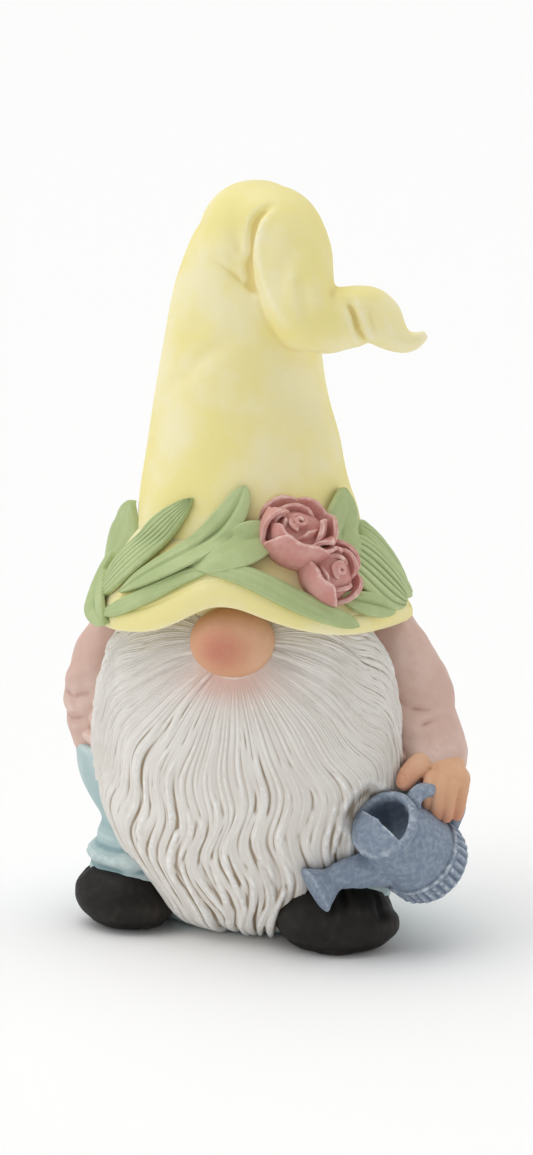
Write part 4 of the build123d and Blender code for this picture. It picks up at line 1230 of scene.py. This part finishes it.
# ================================================================ watering can
def can_place(along, away, across=0.0):
    """A place from the distance along the can's axis, away from the axis towards the spout, and across."""
    along, away, across = (np.asarray(value, dtype=float)[..., None] for value in (along, away, across))
    return CAN_BASE + along * CAN_AXIS + away * CAN_SPOUT_SIDE + across * CAN_CROSS


def turned(profile, around=96, ribs=0, rib_depth=0.0, rib_range=(0, 0)):
    """A closed ring or solid turned about the can's axis, from an outline of radius and distance along."""
    circle = np.linspace(0, 2 * pi, around, endpoint=False)
    rings = []
    for radius, along in profile:
        r = np.full(around, float(radius))
        if ribs and rib_range[0] <= along <= rib_range[1]:
            r = r - rib_depth * (0.5 - 0.5 * np.cos(circle * ribs)) ** 1.6
        rings.append(can_place(np.full(around, float(along)), r * np.cos(circle), r * np.sin(circle)))
    count = len(rings) * around
    faces = [[index % count for index in face] for face in grid_faces(len(rings) + 1, around)]
    return np.vstack(rings), faces


def can_piece(name, shapes, voxel, smoothing, *nodes):
    piece = fused(name, shapes, voxel, smoothing)
    points = get_points(piece)
    push(piece, 0.16 * wobble(points, 7, 61) + 0.05 * wobble(points, 2.5, 62))
    return finish_piece(piece, "can_paint", *nodes, relief=6, relief_scale=0.22)


barrel = curve([(16.2, 0.5), (17.0, 5), (17.4, 10), (17.3, 17), (16.5, 24), (15.0, 30), (13.2, 35.5)], 40)
inside = curve([(11.4, 35.5), (12.2, 32), (12.4, 29), (11.6, 26.6), (9.4, 25.4), (5, 25.6),
                (0.05, 26.6)], 30)
can_piece("can_barrel", [turned([(0.05, 0.5), *barrel, *inside])], 0.5, 2, "can_body")
band = [
    (16.0, -0.6), (17.6, -0.4), (18.3, 0.6), (18.4, 4), (18.3, 8.2), (17.6, 9.0), (17.6, 9.6), (18.5, 10.0),
    (18.8, 10.8), (18.4, 11.6), (16.6, 11.8)]
can_piece("can_rib_band", [turned(band, around=288, ribs=32, rib_depth=1.2, rib_range=(0, 8.3)),
                           turned([(0.05, -0.6), (16.5, -0.6), (16.5, 0.8), (0.05, 0.8)])], 0.42, 1,
          "can_base_band")
collar = [
    (11.3, 34.6), (13.7, 34.6), (14.7, 35.4), (14.9, 36.8), (14.8, 38.2), (14.1, 39.1), (12.9, 39.4),
    (11.9, 38.8), (11.3, 37.4)]
can_piece("can_rim", [turned(collar)], 0.42, 2, "can_collar")


def make_hood():
    """Half a dome over the spout side of the mouth, with a straight edge."""
    points, rows, columns = [], 22, 40
    for radius in (13.9, 12.2):
        for polar in np.linspace(0, pi / 2 + 0.03, rows):
            for around in np.linspace(-pi / 2 + 0.08, pi / 2 - 0.08, columns):
                away = radius * cos(polar) * cos(around)
                across = radius * cos(polar) * sin(around)
                points.append(can_place(37.2 + radius * 0.42 * sin(polar), away, across))
    return np.array(points), sheet_faces(rows, columns, grid_rim(rows, columns))


can_piece("can_mouth_hood", [make_hood()], 0.42, 2, "can_hood")

spout_direction = unit(v3(-0.86, -0.48, -0.17))
sprinkler_direction = unit(v3(-0.74, -0.51, -0.44))
spout_start = can_place(19, 10)
neck = spout_start + spout_direction * 22.5
spout_bend = spout_start + spout_direction * 12
spout_line = curve([spout_start, spout_bend, neck, neck + sprinkler_direction * 3], 34)
spout_width = np.interp(np.linspace(0, 1, 34), [0, 0.3, 0.75, 1], [9.0, 7.4, 4.8, 4.5])
can_piece("can_spout_tube", [tube(spout_line, spout_width, around=48, caps=3)], 0.45, 3, "can_spout")


def make_sprinkler():
    """The flared head: a cone with a slightly domed, perforated face."""
    side = unit(np.cross(sprinkler_direction, CAN_AXIS))
    up = np.cross(sprinkler_direction, side)
    start = neck + sprinkler_direction * 0.5
    circle = np.linspace(0, 2 * pi, 96, endpoint=False)
    profile = [(0.2, 0), (4.1, 0), (4.9, 0.5), (5.1, 1.4), (5.5, 3), (7.2, 6), (9.2, 9), (10.0, 10.2),
               (9.9, 10.9), (9.0, 11.3), (6, 11.7), (3, 11.95), (0.2, 12.0)]
    rings = [start + sprinkler_direction * along + np.outer(np.cos(circle) * radius, side)
             + np.outer(np.sin(circle) * radius, up) for radius, along in profile]
    head = fused("can_sprinkler_head", [(np.vstack(rings), capped_faces(len(rings), 96))], 0.3, 1)
    points = get_points(head)
    local = points - start
    depth, x, y = local @ sprinkler_direction, local @ side, local @ up
    dent = np.zeros(len(points))
    for ring_radius, count in ((0, 1), (3.4, 6), (6.4, 11)):
        for index in range(count):
            turn = 2 * pi * index / count
            gap = np.hypot(x - ring_radius * cos(turn), y - ring_radius * sin(turn))
            dent = np.maximum(dent, bump(gap, 0, 0.75))
    push(head, -1.3 * dent * (depth > 10.4) + 0.08 * wobble(points, 3, 63))
    return head


finish_piece(make_sprinkler(), "can_paint", "can_sprinkler", relief=6, relief_scale=0.22)
handle_line = curve([tuple(can_place(along, -away)) for along, away in
                     [(31, 13), (33.8, 16.5), (32.5, 20.5), (27, 24), (17, 26.5), (9, 25), (4.5, 16)]], 60)
can_piece("can_grip", [tube(handle_line, np.full(60, 3.6), around=32, depths=np.full(60, 2.9),
                            side=CAN_CROSS, caps=3)], 0.45, 2, "can_handle")


# ================================================================ pieces that keep their CAD shape
for node, slot in (("base_plate", "bare_resin"), ("base_bung", "bung_rubber"), ("curl_pin", "pin_steel")):
    for material_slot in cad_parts[node].material_slots:
        material_slot.material = PAINTS[slot]
